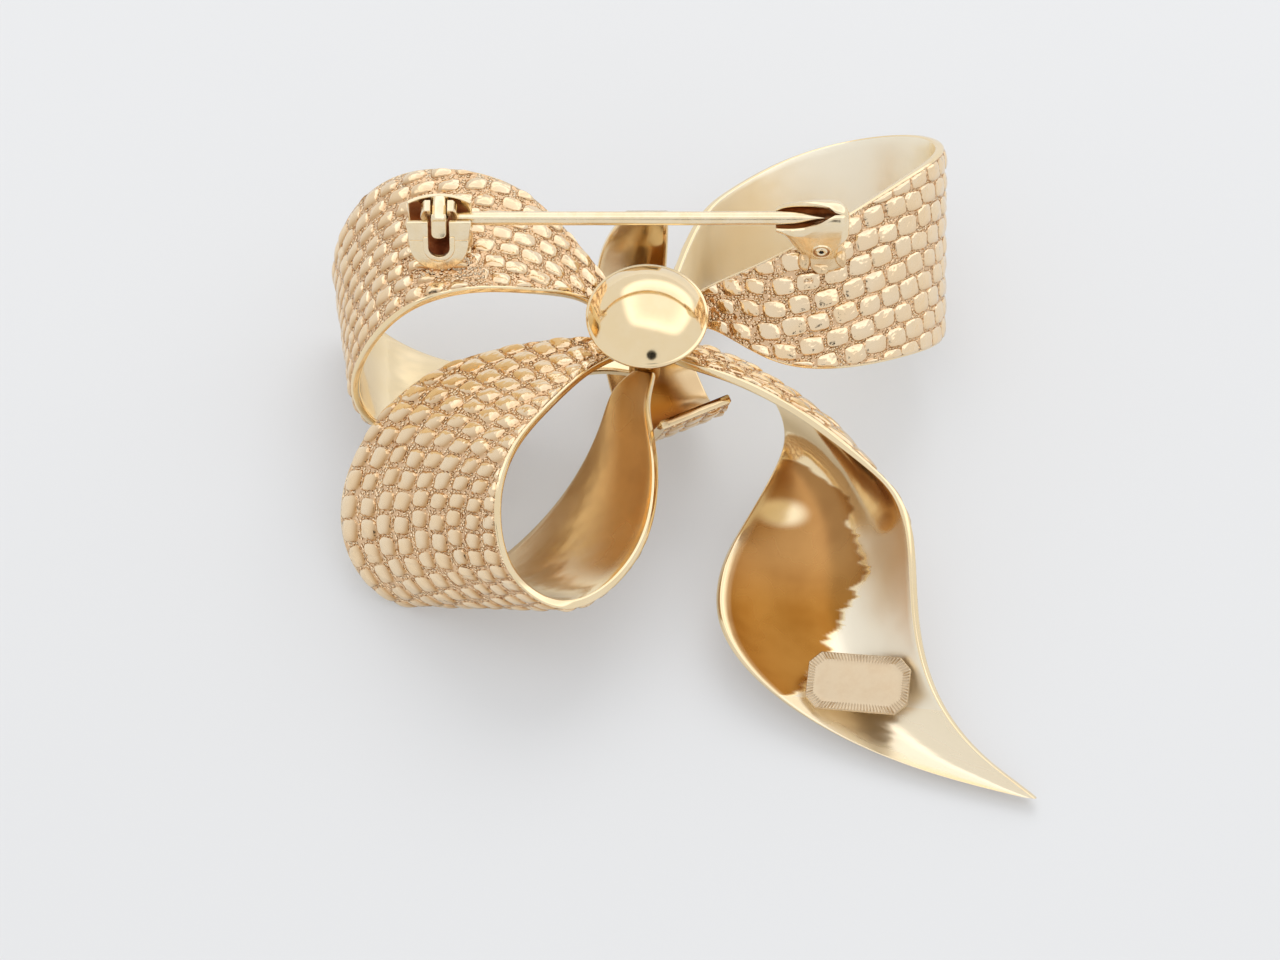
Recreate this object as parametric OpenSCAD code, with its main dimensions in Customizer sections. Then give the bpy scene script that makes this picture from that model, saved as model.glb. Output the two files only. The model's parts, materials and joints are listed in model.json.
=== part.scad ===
// Bow brooch of four formed metal ribbons, lying face down with its back up.
// X runs from the left loops to the right loop, Y toward the far side, Z up.

/* [Bow] */
// Height that the ribbons' sections are measured by
bow_h = 20; // [18:0.5:23]
// Thickness of the ribbon metal without its scales
wall = 0.7; // [0.5:0.05:0.9]
// Height of the scales raised on the outer faces
relief = 0.3; // [0.15:0.05:0.4]
// Gap that separates pieces soldered on the real brooch
solder_gap = 0.08; // [0.05:0.01:0.12]

/* [Upper left loop] */
// Reach of the loop from the middle
upper_reach = 24; // [22:0.5:26]
// How far the loop's back swings to the far side
upper_spread = 6; // [5:0.25:7]
// Widest width of the loop's ribbon
upper_ribbon = 16; // [14:0.5:17]

/* [Lower left loop] */
// Reach of the loop from the middle
lower_reach = 18; // [16:0.5:20]
// How far the loop swings to the near side
lower_spread = 21; // [19:0.5:23]
// Widest width of the loop's ribbon
lower_ribbon = 18; // [16:0.5:19]

/* [Right loop] */
// Reach of the loop from the middle
right_reach = 24; // [22:0.5:26]
// How far the loop's front swings to the far side
right_spread = 16; // [14:0.5:18]
// Widest width of the loop's ribbon
right_ribbon = 16; // [14:0.5:17]

/* [Tail] */
// Reach of the tail's tip from the middle
tail_reach = 30; // [27:0.5:33]
// How far the tail's tip lies to the near side
tail_spread = 36; // [33:0.5:39]
// Widest width of the tail's ribbon
tail_ribbon = 16; // [14:0.5:17]

/* [Scales] */
// Scales along each loop
loop_scales = 31; // [28:1:33]
// Scales along the tail
tail_scales = 26; // [24:1:28]
// Scales along the knot band
knot_scales = 13; // [11:1:15]
// Scales across a loop or the tail, and twice those across the knot band
scales_wide = 8; // [8, 12]

/* [Knot and cap] */
// Length of the knot band over the middle, seen from the back
knot_len = 19; // [17:0.5:20]
// Widest width of the knot band
knot_w = 7.5; // [6.5:0.25:8]
// Diameter of the domed back cap
cap_d = 9.8; // [9:0.1:10.5]
// Height of the cap's dome above its rim
cap_rise = 2.2; // [1.6:0.1:3]
// Thickness of the cap's flat rim
cap_rim = 0.35; // [0.2:0.05:0.5]
// Height of the underside of the cap
cap_z = 15; // [14.8:0.1:15.6]
// Diameter of the cap's core where the ribbons' backs meet it
core_d = 5; // [4.4:0.1:5.4]
// Diameter of the core's slim lower end where the ribbons' fronts meet it
core_tip_d = 2.2; // [1.8:0.1:2.6]

/* [Pin stem] */
// Diameter of the pin stem
stem_d = 1.1; // [0.9:0.05:1.2]
// Length of the pin from the hinge bar to its point
stem_len = 30.6; // [29:0.2:32]
// Length of the tapered point
point_len = 4.3; // [3.6:0.1:5]
// Diameter of the stem's slimmer neck at the hook
neck_d = 0.85; // [0.7:0.05:0.9]
// Distance of the pin from the middle, toward the far side
pin_y = 5.15; // [4.9:0.05:5.5]
// Outer diameter of the hook at the stem's hinge end
hook_d = 2.9; // [2.6:0.05:3.1]
// Width of the hook along the hinge bar
hook_w = 1.04; // [0.8:0.02:1.2]

/* [Pin joint] */
// Distance of the pin joint from the middle, along the pin
joint_at = 16.4; // [15.6:0.1:17]
// Width of the pin joint along the pin
joint_w = 5.2; // [4.6:0.1:5.6]
// Height of the pin joint above the loop
joint_h = 3.75; // [3.6:0.05:4.1]
// Thickness of the pin joint's sheet
sheet = 0.5; // [0.4:0.05:0.6]
// Diameter of the hinge bar
bar_d = 1.28; // [1.1:0.02:1.4]
// Radial clearance of the hook round the hinge bar
hinge_gap = 0.06; // [0.03:0.01:0.08]
// Room between the joint's two walls
channel_w = 1.9; // [1.7:0.05:2.2]
// Lean of the near shield-shaped wall from upright
shield_lean = 28; // [24:1:34]

/* [Catch] */
// Length of the pin that lies inside the catch
point_in = 4; // [3.2:0.1:4.4]
// Length of the catch along the pin
catch_len = 5.6; // [4.8:0.1:6]
// Outer diameter of the catch's rolled barrel
catch_d = 3; // [2.8:0.05:3.2]
// Thickness of the catch's wall
catch_wall = 0.6; // [0.5:0.05:0.7]
// Width of the foot that the catch is soldered by
foot_w = 3.6; // [3:0.1:4]
// Length of the foot down the loop's slope
foot_len = 3; // [2.4:0.1:3.4]

/* [Maker's plate] */
// Length of the bare plate across the tail
plate_len = 8.2; // [7.4:0.1:8.8]
// Width of the bare plate along the tail
plate_w = 4.6; // [4:0.1:5]
// Thickness of the bare plate
plate_t = 0.35; // [0.25:0.05:0.5]
// Height that the plate's middle is held off the chord that its ends rest on
plate_stand = 0.8; // [0.75:0.05:1]
// Size of the notch at each of the plate's corners
plate_notch = 0.9; // [0.6:0.05:1.1]

/* [Hidden] */
$fn = 64;
gold = "#e3c08a";
pale_gold = "#efdcb0";

// Columns of the section tables. OUT, SIDE and LIFT place a section's centre, as
// shares of the ribbon's reach, its spread and the bow's height. WIDTH is a share of
// the ribbon's width. TURN and TIP are the angles, in plan and above level, of the
// line from the section's near edge to its far edge. CUP is the sag as a share of
// the section's width.
OUT = 0;
SIDE = 1;
LIFT = 2;
WIDTH = 3;
TURN = 4;
TIP = 5;
CUP = 6;

upper_rows = [
    [0.20, 0.72, 0.69, 0.28, 92, -8, 0],
    [0.38, 0.98, 0.82, 0.62, 90, -8, 0],
    [0.60, 1.04, 0.90, 0.83, 92, -11, 0],
    [0.83, 0.92, 0.86, 0.96, 95, -12, 0],
    [0.98, 0.70, 0.63, 0.97, 98, -13, 0],
    [1.02, 0.44, 0.36, 0.91, 99, -18, 0],
    [0.89, 0.16, 0.155, 0.82, 94, -22, 0],
    [0.65, -0.06, 0.175, 0.54, 90, -23, 0],
    [0.41, -0.08, 0.28, 0.27, 91, -22, 0],
    [0.22, 0.10, 0.35, 0.14, 93, -18, 0],
];
lower_rows = [
    [0.30, -0.12, 0.66, 0.24, 113, -19, 0],
    [0.52, -0.24, 0.70, 0.49, 118, -22, 0],
    [0.78, -0.40, 0.70, 0.75, 125, -23, 0],
    [0.95, -0.60, 0.57, 0.96, 136, -25, 0],
    [0.97, -0.82, 0.37, 1.03, 149, -26, 0],
    [0.74, -0.98, 0.25, 0.96, 160, -30, 0],
    [0.43, -0.86, 0.25, 0.82, 156, -35, 0],
    [0.19, -0.62, 0.31, 0.65, 143, -37, 0],
    [0.09, -0.36, 0.38, 0.44, 136, -35, 0],
    [0.08, -0.18, 0.41, 0.24, 140, -30, 0],
];
right_rows = [
    [0.22, 0.13, 0.67, 0.22, 95, 28, 0],
    [0.43, 0.03, 0.765, 0.54, 90, 32, 0],
    [0.67, 0.12, 0.80, 0.77, 90, 33, 0],
    [0.88, 0.33, 0.735, 0.91, 90, 35, 0],
    [1.00, 0.59, 0.56, 0.98, 90, 36, 0],
    [0.95, 0.86, 0.36, 0.97, 92, 35, 0],
    [0.75, 1.03, 0.225, 0.84, 93, 35, 0],
    [0.50, 1.04, 0.22, 0.63, 92, 34, 0],
    [0.28, 0.86, 0.28, 0.47, 92, 34, 0],
    [0.17, 0.65, 0.35, 0.34, 97, 34, 0],
];
tail_rows = [
    [0.15, -0.05, 0.57, 0.30, 84, -39, 0.05],
    [0.30, -0.10, 0.53, 0.44, 82, -50, 0.08],
    [0.425, -0.19, 0.43, 0.64, 118, -57, 0.15],
    [0.48, -0.32, 0.37, 0.80, 160, -34, 0.24],
    [0.455, -0.47, 0.34, 0.95, 172, -15, 0.25],
    [0.45, -0.62, 0.27, 0.98, 175, -6, 0.24],
    [0.52, -0.75, 0.18, 0.89, 173, -3, 0.19],
    [0.66, -0.86, 0.11, 0.72, 171, -4, 0.13],
    [0.835, -0.94, 0.07, 0.46, 171, -4, 0.09],
    [1.00, -0.99, 0.05, 0.06, 172, -4, 0.05],
];
// The knot band's OUT is a share of its width, its SIDE a share of its length.
knot_rows = [
    [0.00, 0.56, 0.71, 0.46, 0, 0, 0],
    [-0.10, 0.50, 0.62, 0.66, 2, 0, 0],
    [-0.16, 0.44, 0.50, 0.76, 4, 0, 0],
    [-0.17, 0.35, 0.36, 0.78, 8, 0, 0],
    [-0.06, 0.22, 0.24, 0.90, 12, 0, 0],
    [0.06, 0.07, 0.18, 0.97, 16, 0, 0],
    [0.18, -0.08, 0.18, 1.00, 19, 0, 0],
    [0.30, -0.19, 0.24, 0.95, 23, 0, 0],
    [0.41, -0.26, 0.34, 0.88, 25, 0, 0],
    [0.48, -0.30, 0.45, 0.83, 25, 0, 0],
    [0.52, -0.33, 0.54, 0.81, 25, 0, 0],
];

// Where the ribbons' ends meet the core: the angle round it, the share of the bow's
// height, the share of the ribbon's width, and the TURN and TIP of that width.
END_AT = 0;
END_LIFT = 1;
END_WIDTH = 2;
END_TURN = 3;
END_TIP = 4;
upper_back = [150, 0.645, 0.15, 70, -8];
upper_front = [178, 0.38, 0.125, 90, -12];
lower_back = [207, 0.62, 0.11, 117, -12];
lower_front = [262, 0.43, 0.10, 165, -14];
right_back = [24, 0.65, 0.137, 106, 25];
right_front = [40, 0.43, 0.112, 120, 22];
tail_back = [332, 0.58, 0.15, 66, -30];

// Cells along and across a ribbon's scaled face, two to a scale, and across its bare
// face, each of which meets a whole number of the scaled face's cells
loop_cells = [2 * loop_scales, 2 * scales_wide, scales_wide / 2];
tail_cells = [2 * tail_scales, 2 * scales_wide, scales_wide];
knot_cells = [2 * knot_scales, scales_wide, scales_wide / 4];

// Stations to each side that a ribbon's direction is taken over
nudge = 0.02;
// The last station of a loop's back, and the halvings that find a station on it
back_end = 4;
halvings = 16;
// Heights of the core's step and lower end, as shares of the bow's height
core_step_lift = 0.55;
core_end_lift = 0.34;

function unit(v) = v / norm(v);
function place(p) = [p[0], p[1], p[2]];

function end_section(e, core, ribbon) =
    let (r = core / 2 + solder_gap + wall / 4)
    [r * cos(e[END_AT]), r * sin(e[END_AT]), e[END_LIFT] * bow_h,
     e[END_WIDTH] * ribbon, e[END_TURN], e[END_TIP], 0];

function sections(rows, reach, spread, ribbon) = [
    for (r = rows)
        [r[OUT] * reach, r[SIDE] * spread, r[LIFT] * bow_h,
         r[WIDTH] * ribbon, r[TURN], r[TIP], r[CUP] * r[WIDTH] * ribbon]
];

// A smooth spline runs through the sections. Its control sections lie a little
// outside the curve, which this step works out.
function control(rows) = [
    for (i = [0:len(rows) - 1])
        i == 0 || i == len(rows) - 1
            ? rows[i]
            : rows[i] - (rows[i - 1] - 2 * rows[i] + rows[i + 1]) / 6
];

function blend(c, s) =
    let (
        last = len(c) - 1,
        i = max(0, min(floor(s), last - 1)),
        f = s - i,
        before = i > 0 ? c[i - 1] : 2 * c[0] - c[1],
        after = i < last - 1 ? c[i + 2] : 2 * c[last] - c[last - 1]
    )
    (pow(1 - f, 3) * before
     + (3 * pow(f, 3) - 6 * f * f + 4) * c[i]
     + (-3 * pow(f, 3) + 3 * f * f + 3 * f + 1) * c[i + 1]
     + pow(f, 3) * after) / 6;

function across(q) = [cos(q[TURN]) * cos(q[TIP]), sin(q[TURN]) * cos(q[TIP]), sin(q[TIP])];
function along(c, s) = unit(place(blend(c, s + nudge)) - place(blend(c, s - nudge)));
function outward(c, s, side) = side * unit(cross(across(blend(c, s)), along(c, s)));

// The middle of the sheet at station s and share t across, and its outer direction
function sheet_point(c, s, t, side) =
    let (q = blend(c, s))
    place(q) + across(q) * t * q[WIDTH] / 2 + outward(c, s, side) * q[CUP] * (1 - t * t);
function sheet_normal(c, s, t, side) =
    let (q = blend(c, s))
    unit(outward(c, s, side) + across(q) * 4 * q[CUP] * t / q[WIDTH]);
function skin(c, s, t, h, side) = sheet_point(c, s, t, side) + sheet_normal(c, s, t, side) * h;

// The station where a loop's back stands at the given distance from the middle, found
// by halving the stretch of stations that the back takes
function station_at(c, x, low = 0, high = back_end, steps = halvings) =
    let (mid = (low + high) / 2)
    steps == 0 ? mid
    : abs(blend(c, mid)[OUT]) < abs(x) ? station_at(c, x, mid, high, steps - 1)
    : station_at(c, x, low, mid, steps - 1);

upper_curve = control(concat(
    [end_section(upper_back, core_d, upper_ribbon)],
    sections(upper_rows, -upper_reach, upper_spread, upper_ribbon),
    [end_section(upper_front, core_tip_d, upper_ribbon)]));
lower_curve = control(concat(
    [end_section(lower_back, core_d, lower_ribbon)],
    sections(lower_rows, -lower_reach, lower_spread, lower_ribbon),
    [end_section(lower_front, core_tip_d, lower_ribbon)]));
right_curve = control(concat(
    [end_section(right_back, core_d, right_ribbon)],
    sections(right_rows, right_reach, right_spread, right_ribbon),
    [end_section(right_front, core_tip_d, right_ribbon)]));
tail_curve = control(concat(
    [end_section(tail_back, core_d, tail_ribbon)],
    sections(tail_rows, tail_reach, tail_spread, tail_ribbon)));
knot_curve = control(sections(knot_rows, knot_w, knot_len, knot_w));

// Which face of each ribbon is the scaled one
upper_side = 1;
lower_side = 1;
right_side = -1;
tail_side = -1;
knot_side = 1;

// The pin joint stands on the upper left loop's back, on a level soldered seat.
joint_x = -joint_at;
joint_station = station_at(upper_curve, joint_x);
joint_section = blend(upper_curve, joint_station);
near_wall_y = pin_y - channel_w / 2 - sheet;
far_wall_y = pin_y + channel_w / 2;
// Share of the shield's lean at which the seat's height is taken
foot_share = 0.7;
shield_len = joint_h / cos(shield_lean);
shield_foot = joint_h * tan(shield_lean);
seat_y = near_wall_y - foot_share * shield_foot;
seat_share = (seat_y - joint_section[SIDE]) / (across(joint_section)[1] * joint_section[WIDTH] / 2);
seat_z = skin(upper_curve, joint_station, seat_share, wall / 2, upper_side)[2];
joint_base = seat_z + solder_gap;
joint_top = joint_base + joint_h;
bar_z = joint_top - bar_d / 2;
stem_z = bar_z - hook_d / 2 + stem_d / 2;

// The catch holds the point and its foot lies on the slope of the right loop's back.
point_x = joint_x + stem_len;
catch_x = point_x - point_in;
foot_x = point_x;
foot_station = station_at(right_curve, foot_x);
foot_section = blend(right_curve, foot_station);
foot_slope = foot_section[TIP];
foot_down = [0, -cos(foot_slope), -sin(foot_slope)];
foot_out = [0, -sin(foot_slope), cos(foot_slope)];
foot_edge = skin(right_curve, foot_station, 1, wall / 2 + relief, right_side);
under_pin = (foot_edge[1] - pin_y) / cos(foot_slope);

// A flat soldered seat: a point on it, its upright, its two directions, its half
// length along the first and its range along the second
seat_margin = 0.9;
// How far above or below its plane a seat still levels the scales
seat_depth = 2.5;
joint_seat = [
    [joint_x, pin_y, seat_z], [0, 0, 1], [1, 0, 0], [0, 1, 0],
    joint_w / 2 + seat_margin,
    -channel_w / 2 - sheet - shield_foot - seat_margin,
    channel_w / 2 + sheet + seat_margin,
];
foot_seat = [
    [foot_x, foot_edge[1], foot_edge[2]], foot_out, [1, 0, 0], foot_down,
    foot_w / 2 + seat_margin,
    under_pin - seat_margin,
    under_pin + foot_len + seat_margin,
];
no_seat = [];

function on_seat(seat, p) =
    len(seat) > 0
    && abs((p - seat[0]) * seat[1]) < seat_depth
    && abs((p - seat[0]) * seat[2]) < seat[4]
    && (p - seat[0]) * seat[3] > seat[5]
    && (p - seat[0]) * seat[3] < seat[6];

// Height of the outer face: a raised scale at every other grid point, level on a seat
function face_height(c, i, j, n, m, side, seat) =
    let (
        s = i * (len(c) - 1) / n,
        t = 2 * j / m - 1,
        p = sheet_point(c, s, t, side),
        d = sheet_normal(c, s, t, side),
        scale_here = (i + j) % 2 == 1 && j > 0 && j < m && i > 1 && i < n - 1
    )
    on_seat(seat, p) ? max(wall / 4, (seat[0] - p) * seat[1] / (d * seat[1]))
    : scale_here ? wall / 2 + relief
    : wall / 2;

function ribbon_points(c, cells, side, seat) =
    let (n = cells[0], m = cells[1], k = cells[2], last = len(c) - 1)
    concat(
        [for (i = [0:n]) for (j = [0:m])
            skin(c, i * last / n, 2 * j / m - 1, face_height(c, i, j, n, m, side, seat), side)],
        [for (i = [0:n]) for (j = [0:k])
            skin(c, i * last / n, 2 * j / k - 1, -wall / 2, side)]
    );

function facing(f, side) = side > 0 ? f : [for (i = [len(f) - 1:-1:0]) f[i]];

function ribbon_faces(cells, side) =
    let (
        n = cells[0], m = cells[1], k = cells[2],
        start = (n + 1) * (m + 1),
        q = m / k,
        o = function (i, j) i * (m + 1) + j,
        b = function (i, j) start + i * (k + 1) + j
    )
    concat(
        [for (i = [0:n - 1]) for (j = [0:m - 1]) for (half = [0, 1])
            (i + j) % 2 == 1
                ? (half == 0 ? facing([o(i, j), o(i + 1, j), o(i, j + 1)], side)
                    : facing([o(i + 1, j), o(i + 1, j + 1), o(i, j + 1)], side))
                : (half == 0 ? facing([o(i, j), o(i + 1, j), o(i + 1, j + 1)], side)
                    : facing([o(i, j), o(i + 1, j + 1), o(i, j + 1)], side))],
        [for (i = [0:n - 1]) for (j = [0:k - 1]) for (half = [0, 1])
            half == 0 ? facing([b(i, j), b(i, j + 1), b(i + 1, j)], side)
                : facing([b(i + 1, j), b(i, j + 1), b(i + 1, j + 1)], side)],
        [for (i = [0:n - 1]) for (half = [0, 1])
            half == 0 ? facing([o(i, 0), b(i, 0), o(i + 1, 0)], side)
                : facing([o(i + 1, 0), b(i, 0), b(i + 1, 0)], side)],
        [for (i = [0:n - 1]) for (half = [0, 1])
            half == 0 ? facing([o(i, m), o(i + 1, m), b(i, k)], side)
                : facing([o(i + 1, m), b(i + 1, k), b(i, k)], side)],
        [for (j = [0:m - 1]) facing([o(0, j), o(0, j + 1), b(0, floor(j / q))], side)],
        [for (j = [0:k - 1]) facing([o(0, (j + 1) * q), b(0, j + 1), b(0, j)], side)],
        [for (j = [0:m - 1]) facing([o(n, j + 1), o(n, j), b(n, floor(j / q))], side)],
        [for (j = [0:k - 1]) facing([b(n, j + 1), o(n, (j + 1) * q), b(n, j)], side)]
    );

upper_points = ribbon_points(upper_curve, loop_cells, upper_side, joint_seat);
lower_points = ribbon_points(lower_curve, loop_cells, lower_side, no_seat);
right_points = ribbon_points(right_curve, loop_cells, right_side, foot_seat);
tail_points = ribbon_points(tail_curve, tail_cells, tail_side, no_seat);
knot_points = ribbon_points(knot_curve, knot_cells, knot_side, no_seat);

// The whole brooch is moved so that its lowest scale touches the surface below and
// the middle of its outline lies over the origin.
all_points = concat(upper_points, lower_points, right_points, tail_points, knot_points);
low = [for (a = [0:2]) min([for (p = all_points) p[a]])];
high = [for (a = [0:2]) max([for (p = all_points) p[a]])];
to_origin = [-(low[0] + high[0]) / 2, -(low[1] + high[1]) / 2, -low[2]];

// Where the bare plate rests on the tail's hollow face, as a chord between two points
plate_station = 7;
// The chord's middle, as a share of half the tail's width
plate_middle = -0.16;
// Stations to each side that the tail's direction under the plate is taken over
plate_step = 0.4;
plate_section = blend(tail_curve, plate_station);
plate_share = plate_len / plate_section[WIDTH];
plate_a = skin(tail_curve, plate_station, plate_middle - plate_share, -wall / 2 - solder_gap, tail_side);
plate_b = skin(tail_curve, plate_station, plate_middle + plate_share, -wall / 2 - solder_gap, tail_side);
plate_u = unit(plate_a - plate_b);
plate_up = sheet_point(tail_curve, plate_station - plate_step, plate_middle, tail_side)
    - sheet_point(tail_curve, plate_station + plate_step, plate_middle, tail_side);
plate_n = unit(cross(plate_u, plate_up));
plate_v = cross(plate_n, plate_u);
plate_spot = (plate_a + plate_b) / 2 + plate_n * plate_stand;

// A cylinder along Y, from y = 0 to y = length
module bar_along_y(d, length) {
    rotate([-90, 0, 0])
        cylinder(d = d, h = length);
}

module ribbon(points, cells, side) {
    translate(to_origin)
        polyhedron(points = points, faces = ribbon_faces(cells, side), convexity = 8);
}

module upper_left_loop() {
    color(gold)
        ribbon(upper_points, loop_cells, upper_side);
}

module lower_left_loop() {
    color(gold)
        ribbon(lower_points, loop_cells, lower_side);
}

module right_loop() {
    color(gold)
        ribbon(right_points, loop_cells, right_side);
}

module tail() {
    color(gold)
        ribbon(tail_points, tail_cells, tail_side);
}

module knot_band() {
    color(gold)
        ribbon(knot_points, knot_cells, knot_side);
}

// The dome is a slice of a ball on a thin rim, over the core that the ribbons meet.
module back_cap() {
    lip = 0.2;
    dome_r = cap_d / 2 - lip;
    ball_r = (dome_r * dome_r + cap_rise * cap_rise) / (2 * cap_rise);
    core_step = core_step_lift * bow_h;
    core_end = core_end_lift * bow_h;
    color(pale_gold)
        translate(to_origin)
        rotate_extrude()
        union() {
            translate([0, cap_z])
                square([cap_d / 2, cap_rim]);
            intersection() {
                translate([0, cap_z + cap_rim + cap_rise - ball_r])
                    circle(r = ball_r);
                translate([0, cap_z + cap_rim])
                    square([dome_r, cap_rise]);
            }
            translate([0, core_step])
                square([core_d / 2, cap_z - core_step]);
            translate([0, core_end])
                square([core_tip_d / 2, core_step - core_end]);
        }
}

// The near wall is a shield with a round foot and a slot for the bar's tongue.
module shield() {
    slot_gap = 0.21;
    below_slot = 0.9;
    slot_w = bar_d + 2 * slot_gap;
    slot_len = shield_len - below_slot;
    linear_extrude(sheet)
        difference() {
            union() {
                translate([-joint_w / 2, joint_w / 2])
                    square([joint_w, shield_len - joint_w / 2]);
                intersection() {
                    translate([0, joint_w / 2])
                        circle(d = joint_w);
                    translate([-joint_w / 2, 0])
                        square([joint_w, shield_len]);
                }
            }
            translate([-slot_w / 2, shield_len - slot_len + slot_w / 2])
                square([slot_w, slot_len]);
            translate([0, shield_len - slot_len + slot_w / 2])
                circle(d = slot_w);
        }
}

module pin_joint() {
    below_tongue = 1.75;
    tongue_len = shield_len - below_tongue;
    base_front = 0.7;
    base_tab = 2.1;
    color(pale_gold)
        translate(to_origin)
        translate([joint_x, 0, joint_base])
        difference() {
            union() {
                translate([-joint_w / 2, near_wall_y - base_front, 0])
                    cube([joint_w, far_wall_y + sheet - near_wall_y + base_front, sheet]);
                translate([-base_tab / 2, near_wall_y - shield_foot + sheet / 2, 0])
                    cube([base_tab, shield_foot, sheet]);
                translate([-joint_w / 2, far_wall_y, 0])
                    cube([joint_w, sheet, joint_h]);
                translate([0, near_wall_y - shield_foot, 0])
                    rotate([90 - shield_lean, 0, 0])
                    translate([0, 0, -sheet])
                    shield();
                translate([0, near_wall_y, joint_h - bar_d / 2])
                    bar_along_y(bar_d, channel_w + 2 * sheet);
                translate([0, near_wall_y - shield_foot, 0])
                    rotate([90 - shield_lean, 0, 0])
                    translate([-bar_d / 2, shield_len - tongue_len, -sheet])
                    cube([bar_d, tongue_len - bar_d / 2, sheet]);
            }
            translate([-joint_w, near_wall_y - 2 * shield_foot, -joint_h])
                cube([2 * joint_w, far_wall_y - near_wall_y + 4 * shield_foot, joint_h]);
        }
}

// The stem's end is bent into an open hook that grips the hinge bar from below. Its
// neck widens to the full stem where it has passed the joint's walls.
module pin_stem() {
    hook_mouth = 50;
    tip_d = 0.3;
    neck_past = 0.3;
    stem_start = hook_d / 4;
    neck_end = joint_w / 2 + neck_past;
    bore_d = bar_d + 2 * hinge_gap;
    color(pale_gold)
        translate(to_origin)
        translate([joint_x, pin_y, bar_z])
        union() {
            translate([0, -hook_w / 2, 0])
                difference() {
                    bar_along_y(hook_d, hook_w);
                    translate([0, -hook_w, 0])
                        bar_along_y(bore_d, 3 * hook_w);
                    translate([0, 2 * hook_w, 0])
                        rotate([90, 0, 0])
                        linear_extrude(3 * hook_w)
                        polygon([
                            [0, 0],
                            [-hook_d * sin(hook_mouth), hook_d * cos(hook_mouth)],
                            [0, 2 * hook_d],
                            [hook_d * sin(hook_mouth), hook_d * cos(hook_mouth)],
                        ]);
                }
            translate([stem_start, 0, stem_z - bar_z])
                rotate([0, 90, 0])
                difference() {
                    cylinder(d1 = neck_d, d2 = stem_d, h = neck_end - stem_start);
                    translate([stem_z - bar_z, -stem_d, -stem_start])
                        bar_along_y(bore_d, 2 * stem_d);
                }
            translate([neck_end, 0, stem_z - bar_z])
                rotate([0, 90, 0])
                cylinder(d = stem_d, h = stem_len - point_len - neck_end);
            translate([stem_len - point_len, 0, stem_z - bar_z])
                rotate([0, 90, 0])
                cylinder(d1 = stem_d, d2 = tip_d, h = point_len);
        }
}

// A rolled barrel, open along its top, on a foot that lies down the loop's slope.
module catch() {
    bore_d = catch_d - 2 * catch_wall;
    mouth_room = 0.25;
    mouth_pinch = 0.1;
    mouth_wide = stem_d + 2 * mouth_room;
    mouth_slim = stem_d - 2 * mouth_pinch;
    rivet_d = 1.3;
    rivet_drop = 1.65;
    rivet_out = 0.4;
    lip_cut = 24;
    past = 1;
    foot_bend = catch_d / 2 / cos(foot_slope);
    spot = [pin_y, stem_z];
    edge = [foot_edge[1], foot_edge[2]] + solder_gap * [foot_out[1], foot_out[2]];
    down = [foot_down[1], foot_down[2]];
    out = [foot_out[1], foot_out[2]];
    color(pale_gold)
        translate(to_origin)
        union() {
            translate([catch_x, pin_y, stem_z])
                difference() {
                    rotate([0, 90, 0])
                        cylinder(d = catch_d, h = catch_len);
                    translate([-catch_len / 2, 0, 0])
                        rotate([0, 90, 0])
                        cylinder(d = bore_d, h = 2 * catch_len);
                    linear_extrude(catch_d)
                        polygon([
                            [-past, -mouth_wide / 2],
                            [catch_len + past, -mouth_slim / 2],
                            [catch_len + past, mouth_slim / 2],
                            [-past, mouth_wide / 2],
                        ]);
                    translate([0, -catch_d, 0])
                        rotate([0, -lip_cut, 0])
                        cube([2 * catch_len, catch_d, catch_d]);
                }
            difference() {
                translate([foot_x - foot_w / 2, 0, 0])
                    rotate([90, 0, 90])
                    linear_extrude(foot_w)
                    polygon([
                        spot + (catch_d / 2 - catch_wall / 2) * [0, -1],
                        edge + under_pin * down,
                        edge + (under_pin + foot_len) * down,
                        edge + (under_pin + foot_len) * down + catch_wall * out,
                        edge + (under_pin + foot_bend) * down + catch_wall * out,
                        spot + (catch_d / 2 - catch_wall / 4) * [-1, 0],
                    ]);
                translate([foot_x - foot_w, pin_y, stem_z])
                    rotate([0, 90, 0])
                    cylinder(d = bore_d, h = 2 * foot_w);
            }
            translate([foot_x, pin_y - catch_d / 2 + catch_wall, stem_z - rivet_drop])
                rotate([90, 0, 0])
                cylinder(d = rivet_d, h = catch_wall + rivet_out);
        }
}

// A thin eight-sided plate with a notch at each corner, left bare
module maker_plate() {
    color(pale_gold)
        translate(to_origin)
        multmatrix([
            [plate_u[0], plate_v[0], plate_n[0], plate_spot[0]],
            [plate_u[1], plate_v[1], plate_n[1], plate_spot[1]],
            [plate_u[2], plate_v[2], plate_n[2], plate_spot[2]],
            [0, 0, 0, 1],
        ])
        linear_extrude(plate_t)
        difference() {
            square([plate_len, plate_w], center = true);
            for (sx = [-1, 1])
                for (sy = [-1, 1])
                    translate([sx * plate_len / 2, sy * plate_w / 2])
                        rotate(45)
                        square(plate_notch * sqrt(2), center = true);
        }
}

upper_left_loop();
lower_left_loop();
right_loop();
tail();
knot_band();
back_cap();
pin_joint();
pin_stem();
catch();
maker_plate();
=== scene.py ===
import json
from collections import namedtuple
from math import asin, copysign, cos, degrees, hypot, pi, radians, sin, sqrt, tan

import bpy
import numpy as np
from mathutils import Matrix, Vector


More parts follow.
